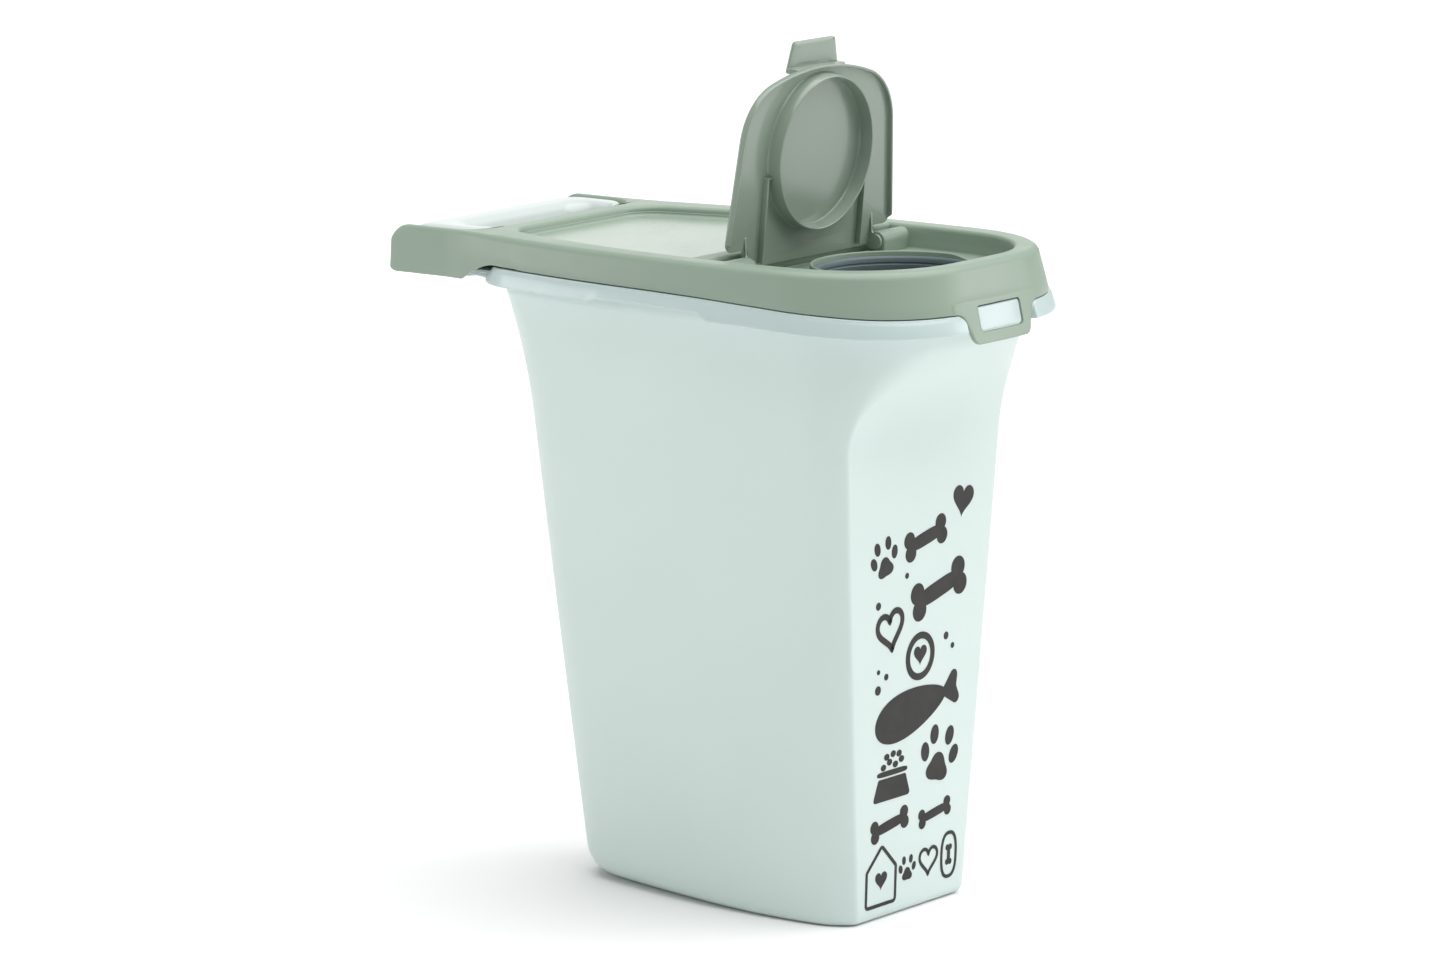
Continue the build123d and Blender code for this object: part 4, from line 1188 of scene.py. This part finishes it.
def add_ink(rings, looped):
    """Adds one closed drop, given as rings of (x, z) with a depth each, to the print."""
    global ink_count
    layer = LAYER * (len(ink_points) % LAYERS)
    stack = []
    for flat, proud in rings:
        stack.append(np.column_stack([flat[:, 0], panel_y(flat[:, 1]) - (proud + layer), flat[:, 1]]))
    points, quads, tris = closed_stack(stack, looped)
    ink_points.append(points)
    ink_quads.append(quads + ink_count)
    ink_tris.append(tris + ink_count)
    ink_count += len(points)


def drop(loop):
    """A flat drop of ink inside a loop of (x, z)."""
    add_ink([(loop, -0.4), (loop, INK)], looped=False)


def stroke(loop, width):
    """An even line of ink along a closed loop."""
    inner, outer = moved_in(loop, width / 2), moved_in(loop, -width / 2)
    add_ink([(outer, -0.4), (outer, INK), (inner, INK), (inner, -0.4)], looped=True)


def placed(loop, x, z, size=1.0, tilt=0.0):
    """A loop scaled, tilted by an angle in degrees, and moved to x and z."""
    a = math.radians(tilt)
    turned = loop @ np.array([[math.cos(a), math.sin(a)], [-math.sin(a), math.cos(a)]])
    return turned * size + [x, z]


def oval(wide, tall, n=2.0):
    """A superellipse: n of 2 is an ellipse, and a higher n is a rounded box."""
    c, s = np.cos(drop_turn), np.sin(drop_turn)
    return np.column_stack([
        wide * np.sign(c) * np.abs(c) ** (2 / n), tall * np.sign(s) * np.abs(s) ** (2 / n)
    ])


def heart_loop():
    """The usual heart curve, one unit wide on either side."""
    t = drop_turn + math.pi / 2
    x = 16 * np.sin(t) ** 3
    z = 13 * np.cos(t) - 5 * np.cos(2 * t) - 2 * np.cos(3 * t) - np.cos(4 * t)
    return np.column_stack([x, z + 2]) / 16


# %% Motifs
def paw(x, z, size, tilt=0.0):
    """A pad like a soft triangle with four toes above it."""
    pull = 1 + 0.16 * np.cos(3 * (drop_turn - math.pi / 2))
    pad = np.column_stack([np.cos(drop_turn), 0.82 * np.sin(drop_turn)]) * pull[:, None]
    drop(placed(pad, x, z, size * 0.62, tilt))
    for away, far, lean in ((68, 1.16, 18), (25, 1.42, 6), (-25, 1.42, -6), (-68, 1.16, -18)):
        a = math.radians(90 + away * 0.86 + tilt)
        toe_x, toe_z = x + size * far * 0.92 * math.cos(a), z + size * far * 0.92 * math.sin(a)
        drop(placed(oval(0.25, 0.36), toe_x, toe_z, size, tilt + lean))


def bone(x, z, length, thick, tilt=0.0):
    """A bar with two knobs at each end."""
    drop(placed(oval(length / 2, thick / 2, 3.2), x, z, 1, tilt))
    a = math.radians(tilt)
    for end in (-1, 1):
        for up in (-1, 1):
            dx, dz = end * length / 2, up * thick * 0.48
            cx = x + dx * math.cos(a) - dz * math.sin(a)
            cz = z + dx * math.sin(a) + dz * math.cos(a)
            drop(placed(oval(thick * 0.62, thick * 0.6), cx, cz, 1, tilt))


def fish(x, z, length, tilt=0.0):
    """A body like a leaf, with a round-cornered tail."""
    a = math.radians(tilt)
    c, s = np.cos(drop_turn), np.sin(drop_turn)
    body = np.column_stack([0.40 * c, 0.155 * s * (1 - 0.28 * c)])
    drop(placed(body, x - 0.08 * length * math.cos(a), z - 0.08 * length * math.sin(a), length, tilt))
    tail = rounded_polygon([(0.26, 0), (0.5, 0.19), (0.44, 0), (0.5, -0.19)], [0.02, 0.04, 0.03, 0.04])
    drop(placed(even_loop(tail, 56), x, z, length, tilt))


def bowl(x, z, width):
    """A bowl: a wide foot, sloping sides, and a rim."""
    corners = [(-0.36, 0.16), (0.36, 0.16), (0.5, -0.2), (-0.5, -0.2)]
    drop(placed(even_loop(rounded_polygon(corners, [0.03, 0.03, 0.05, 0.05]), 80), x, z, width))
    drop(placed(oval(0.40, 0.045, 4), x, z + 0.235 * width, width))


def house(x, z, size, width):
    """A house drawn as one line, with a heart inside."""
    corners = [(-0.42, -0.5), (0.42, -0.5), (0.42, 0.12), (0.0, 0.52), (-0.42, 0.12)]
    line = even_loop(rounded_polygon(corners, [0.06, 0.06, 0.05, 0.05, 0.05]), 140)
    stroke(placed(line, x, z, size), width)
    drop(placed(heart_loop(), x, z - 0.08 * size, size * 0.17))


# %% [markdown]
# ### Setting the column
# The motifs run from just under the middle of the panel to its foot, in seven rows that lean a little,
# like a hand-drawn sign. Heavy and light rows take turns.

# %% Print the column
paw(-36, 214, 11.5, 14)
bone(4, 226, 32, 8.6, 12)
drop(placed(heart_loop(), 41, 243, 10.5, -8))
drop(placed(oval(2.4, 2.4), -42, 192))
drop(placed(oval(1.8, 1.8), -14, 206))
stroke(placed(heart_loop(), -29, 175, 12.5, 10), 3.8)
bone(19, 193, 42, 11.0, 14)
stroke(placed(oval(12.5, 12.5), 2, 155), 4.2)
drop(placed(heart_loop(), 2, 155.6, 6.4))
drop(placed(oval(2.4, 2.4), 28, 163))
drop(placed(oval(1.8, 1.8), 35, 156))
fish(1, 124, 90, 10)
drop(placed(oval(2.8, 2.8), -40, 141))
drop(placed(oval(2.0, 2.0), -32, 148))
drop(placed(oval(1.5, 1.5), -40, 152))
bowl(-23, 80, 38)
for x, z in ((-32, 93.0), (-26, 95.5), (-20, 93.3), (-14, 95.5), (-29, 99), (-22.5, 100), (-16.5, 99.3)):
    drop(placed(oval(2.6, 2.0), x, z))
paw(23, 83, 16.5, -12)
bone(-24, 57, 30, 6.6, 9)
bone(22, 56, 26, 5.6, 9)
house(-31, 27, 35, 2.2)
paw(-4.5, 23, 7.4, 0)
stroke(placed(heart_loop(), 17, 27, 9.0), 2.2)
stroke(placed(oval(7.4, 13.5, 2.6), 38, 27), 2.2)
bone(38, 27, 9.0, 3.0, 90)
ink = [np.vstack(part) for part in (ink_points, ink_quads, ink_tris)]
mesh_piece("panel_print", *ink, "bin_body")

# %% [markdown]
# ## Plastics
# Every finish here is moulded plastic, and what tells one from another is its gloss, its grain and how
# much light gets into it; the rim's colour also carries painted shade, and the sunken floors' colour a
# painted highlight. Each material starts from the same few nodes. A fine noise in object space is the
# grain and drives a bump. A very broad noise moves the colour by a hair, because a moulding is never
# quite even. A middle one moves the roughness, which breaks up the highlights.

# %% Node helpers
def linear(red, green, blue):
    """A colour picked on a screen, as the shader wants it: the screen's curve is undone."""
    values = np.array([red, green, blue]) / 255
    return [*np.where(values <= 0.04045, values / 12.92, ((values + 0.055) / 1.055) ** 2.4), 1.0]


def new_finish(name):
    """An empty node material with its shader and its object coordinates."""
    finish = bpy.data.materials.new(name)
    finish.use_nodes = True
    tree = finish.node_tree
    shader = tree.nodes["Principled BSDF"]
    places = tree.nodes.new("ShaderNodeTexCoord")
    return finish, tree, shader, places.outputs["Object"]


def add_noise(tree, places, scale, detail=2.0):
    """A noise texture in object space; its scale is in waves per metre."""
    noise = tree.nodes.new("ShaderNodeTexNoise")
    noise.inputs["Scale"].default_value = scale
    noise.inputs["Detail"].default_value = detail
    tree.links.new(places, noise.inputs["Vector"])
    return noise.outputs["Fac"]


def add_grain(tree, shader, places, scale, depth):
    """A moulded grain: a fine noise as a bump of that depth in metres."""
    bump = tree.nodes.new("ShaderNodeBump")
    bump.inputs["Strength"].default_value = 1.0
    bump.inputs["Distance"].default_value = depth
    tree.links.new(add_noise(tree, places, scale, 3.0), bump.inputs["Height"])
    tree.links.new(bump.outputs["Normal"], shader.inputs["Normal"])


def add_tint(tree, shader, places, dark, light, scale=7.0):
    """The base colour drifts between two close colours, over a broad noise."""
    ramp = tree.nodes.new("ShaderNodeValToRGB")
    ramp.color_ramp.elements[0].position = 0.3
    ramp.color_ramp.elements[0].color = dark
    ramp.color_ramp.elements[1].position = 0.7
    ramp.color_ramp.elements[1].color = light
    tree.links.new(add_noise(tree, places, scale), ramp.inputs["Fac"])
    tree.links.new(ramp.outputs["Color"], shader.inputs["Base Color"])


def add_gloss(tree, shader, places, low, high, scale=60.0):
    """Roughness between low and high, over a noise of middle size."""
    spread_out = tree.nodes.new("ShaderNodeMapRange")
    spread_out.inputs["From Min"].default_value = 0.2
    spread_out.inputs["From Max"].default_value = 0.8
    spread_out.inputs["To Min"].default_value = low
    spread_out.inputs["To Max"].default_value = high
    tree.links.new(add_noise(tree, places, scale), spread_out.inputs["Value"])
    spread_out.interpolation_type = "SMOOTHSTEP"
    tree.links.new(spread_out.outputs["Result"], shader.inputs["Roughness"])


# %% The finishes
def tub_plastic():
    """Pale polypropylene with a satin grain, a little translucent."""
    finish, tree, shader, places = new_finish("tub_plastic")
    add_tint(tree, shader, places, linear(207, 222, 218), linear(210, 225, 221))
    add_gloss(tree, shader, places, 0.42, 0.50)
    add_grain(tree, shader, places, 1500.0, 0.00003)
    shader.inputs["Subsurface Weight"].default_value = 0.15
    shader.inputs["Subsurface Radius"].default_value = (0.004, 0.004, 0.004)
    shader.inputs["Subsurface Scale"].default_value = 1.0
    return finish


def rim_plastic_painted_shade():
    """The same polypropylene where the mould is polished, so it is glossy; its base colour is set darker
    and bluer than the tub's, which is painted shade.
    """
    finish, tree, shader, places = new_finish("rim_plastic_painted_shade")
    # Base colour darker and bluer than the tub's: painted shade, which the lug, pads and ribs also wear.
    add_tint(tree, shader, places, linear(187, 204, 202), linear(190, 207, 205))
    add_gloss(tree, shader, places, 0.28, 0.34)
    add_grain(tree, shader, places, 500.0, 0.000008)
    shader.inputs["Coat Weight"].default_value = 0.25
    shader.inputs["Coat Roughness"].default_value = 0.14
    shader.inputs["Subsurface Weight"].default_value = 0.25
    shader.inputs["Subsurface Radius"].default_value = (0.003, 0.003, 0.003)
    shader.inputs["Subsurface Scale"].default_value = 1.0
    return finish


def handle_plastic():
    """White plastic, smooth to the hand."""
    finish, tree, shader, places = new_finish("handle_plastic")
    add_tint(tree, shader, places, linear(198, 207, 204), linear(202, 211, 208))
    add_gloss(tree, shader, places, 0.28, 0.31)
    add_grain(tree, shader, places, 900.0, 0.000008)
    return finish


def lid_plastic():
    """Sage green plastic with a fine satin grain."""
    finish, tree, shader, places = new_finish("lid_plastic")
    add_tint(tree, shader, places, linear(141, 159, 143), linear(144, 162, 146))
    add_gloss(tree, shader, places, 0.36, 0.44)
    add_grain(tree, shader, places, 1600.0, 0.00003)
    return finish


def recess_plastic_painted_sheen():
    """The same green on the sunken floors, where the mould is polished, so they carry a sheen; their base
    colour is also set lighter than the lid's, which is a painted highlight.
    """
    finish, tree, shader, places = new_finish("recess_plastic_painted_sheen")
    # Base colour a shade lighter than the lid's green: a painted highlight on the sunken floors.
    add_tint(tree, shader, places, linear(148, 166, 150), linear(151, 169, 153))
    add_gloss(tree, shader, places, 0.22, 0.28)
    add_grain(tree, shader, places, 300.0, 0.000002)
    shader.inputs["Coat Weight"].default_value = 0.3
    shader.inputs["Coat Roughness"].default_value = 0.2
    return finish


def flap_plastic():
    """Sage green plastic from a polished mould: darker to look at, and glossy."""
    finish, tree, shader, places = new_finish("flap_plastic")
    add_tint(tree, shader, places, linear(138, 153, 140), linear(141, 156, 143))
    add_gloss(tree, shader, places, 0.15, 0.21)
    add_grain(tree, shader, places, 400.0, 0.00001)
    return finish


def ring_rubber():
    """The spout's soft ring: grey, and a touch translucent."""
    finish, tree, shader, places = new_finish("ring_rubber")
    add_tint(tree, shader, places, linear(104, 120, 124), linear(110, 126, 130))
    add_gloss(tree, shader, places, 0.45, 0.55)
    add_grain(tree, shader, places, 1200.0, 0.00002)
    shader.inputs["Subsurface Weight"].default_value = 0.1
    shader.inputs["Subsurface Radius"].default_value = (0.002, 0.002, 0.002)
    shader.inputs["Subsurface Scale"].default_value = 1.0
    return finish


def print_ink():
    """Charcoal printing ink, flat and slightly uneven."""
    finish, tree, shader, places = new_finish("print_ink")
    add_tint(tree, shader, places, linear(30, 29, 27), linear(34, 33, 31), 90.0)
    add_gloss(tree, shader, places, 0.55, 0.65)
    add_grain(tree, shader, places, 2500.0, 0.00001)
    return finish


# %% [markdown]
# ## Handing out the finishes
# Each piece gets its material. Beside each finish the table lists the slot in the record that it belongs
# to.

# %% Paint the pieces
finishes = {
    "tub": (tub_plastic(), "bucket_plastic"),
    # The rim finish is the tub's plastic painted darker, a painted shade; the lug, pads and ribs wear it
    # too.
    "rim": (rim_plastic_painted_shade(), "bucket_plastic"),
    "handle": (handle_plastic(), "handle_plastic"),
    "lid": (lid_plastic(), "lid_plastic"),
    # The recess finish is the lid's green painted lighter, a painted highlight.
    "recess": (recess_plastic_painted_sheen(), "lid_plastic"),
    "flap": (flap_plastic(), "flap_plastic"),
    "ring": (ring_rubber(), "seal_rubber"),
    "ink": (print_ink(), "bucket_plastic"),
}
wears = {
    "tub": "tub", "rim": "rim", "catch_lug": "rim", "handle_pad": "rim", "handle_rib": "rim",
    "handle": "handle", "lid_": "lid", "spout_collar": "lid", "hinge_nose": "lid", "catch_tongue": "lid",
    "lid_recess": "recess", "flap": "flap", "spout_ring": "ring", "panel_print": "ink",
}
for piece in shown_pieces():
    start = max((word for word in wears if piece.name.startswith(word)), key=len)
    finish, slot_name = finishes[wears[start]]
    piece.data.materials.clear()
    piece.data.materials.append(finish)

# %% [markdown]
# ## Light, floor and camera
# The bin stands on a white floor in an even, bright studio. A white world fills every shadow. One large
# soft light stands behind the left shoulder and rolls light along the side, one from the right front
# lifts the printed panel, and one overhead whitens the lid's top.

# %% Studio
def soft_light(name, place, aim, size, power, colour=(1, 1, 1)):
    """A square area light at a place, turned to shine at a point."""
    lamp = bpy.data.lights.new(name, "AREA")
    lamp.size = size
    lamp.energy = power
    lamp.color = colour
    light = bpy.data.objects.new(name, lamp)
    light.location = place
    light.rotation_euler = (Vector(aim) - Vector(place)).to_track_quat("-Z", "Y").to_euler()
    bpy.context.scene.collection.objects.link(light)
    return light


soft_light("side_light", (-1.6, 2.6, 0.9), (0, 0, 0.2), 1.2, 16)
soft_light("front_light", (2.0, -2.0, 0.9), (0, 0, 0.2), 1.2, 17, (1, 0.94, 0.96))
soft_light("back_light", (2.4, 1.8, 1.15), (0, 0, 0.39), 1.4, 5)
sky = bpy.data.lights.new("top_light", "SUN")
sky.energy = 3.4
sky.angle = math.radians(80)
top_light = bpy.data.objects.new("top_light", sky)
top_light.rotation_euler = (math.radians(12), math.radians(8), 0)
bpy.context.scene.collection.objects.link(top_light)

world = bpy.data.worlds.new("studio")
world.use_nodes = True
world.node_tree.nodes["Background"].inputs["Color"].default_value = (1, 1, 1, 1)
world.node_tree.nodes["Background"].inputs["Strength"].default_value = 0.32
bpy.context.scene.world = world
bpy.context.scene.view_settings.view_transform = "Standard"

FLOOR_SIZE = 12.0
half_floor = FLOOR_SIZE / 2
floor_mesh = bpy.data.meshes.new("floor")
floor_corners = [(-half_floor, -half_floor, 0), (half_floor, -half_floor, 0)]
floor_corners += [(half_floor, half_floor, 0), (-half_floor, half_floor, 0)]
floor_mesh.from_pydata(floor_corners, [], [(0, 1, 2, 3)])
floor = bpy.data.objects.new("floor", floor_mesh)
bpy.context.scene.collection.objects.link(floor)
floor_finish, floor_tree, floor_shader, floor_places = new_finish("floor_paper")
add_tint(floor_tree, floor_shader, floor_places, (0.87, 0.87, 0.87, 1), (0.88, 0.88, 0.88, 1), 1.0)
floor_shader.inputs["Roughness"].default_value = 0.9
floor_mesh.materials.append(floor_finish)
floor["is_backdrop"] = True

# %% [markdown]
# ## The camera
# The camera looks down on the bin by about ten degrees from its front left, through a long lens, so the
# upright edges stay nearly parallel.

# %% Camera
target = Vector((0.0, 0.02672, 0.24458))
azimuth, elevation, roll = math.radians(-52.88), math.radians(10.383), math.radians(-0.244)
away = 4.058
back = Vector((
    math.sin(azimuth) * math.cos(elevation), -math.cos(azimuth) * math.cos(elevation), math.sin(elevation)
))
camera = bpy.data.objects.new("camera", bpy.data.cameras.new("camera"))
camera.location = target + back * away
camera.rotation_euler = (
    back.to_track_quat("Z", "Y") @ Matrix.Rotation(roll, 4, "Z").to_quaternion()
).to_euler()
camera.data.lens = 168.2
camera.data.clip_end = 50
bpy.context.scene.collection.objects.link(camera)
bpy.context.scene.camera = camera

# %% Sizes and finish
low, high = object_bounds()
print("visual box", [round(v / MM, 1) for v in low], [round(v / MM, 1) for v in high])
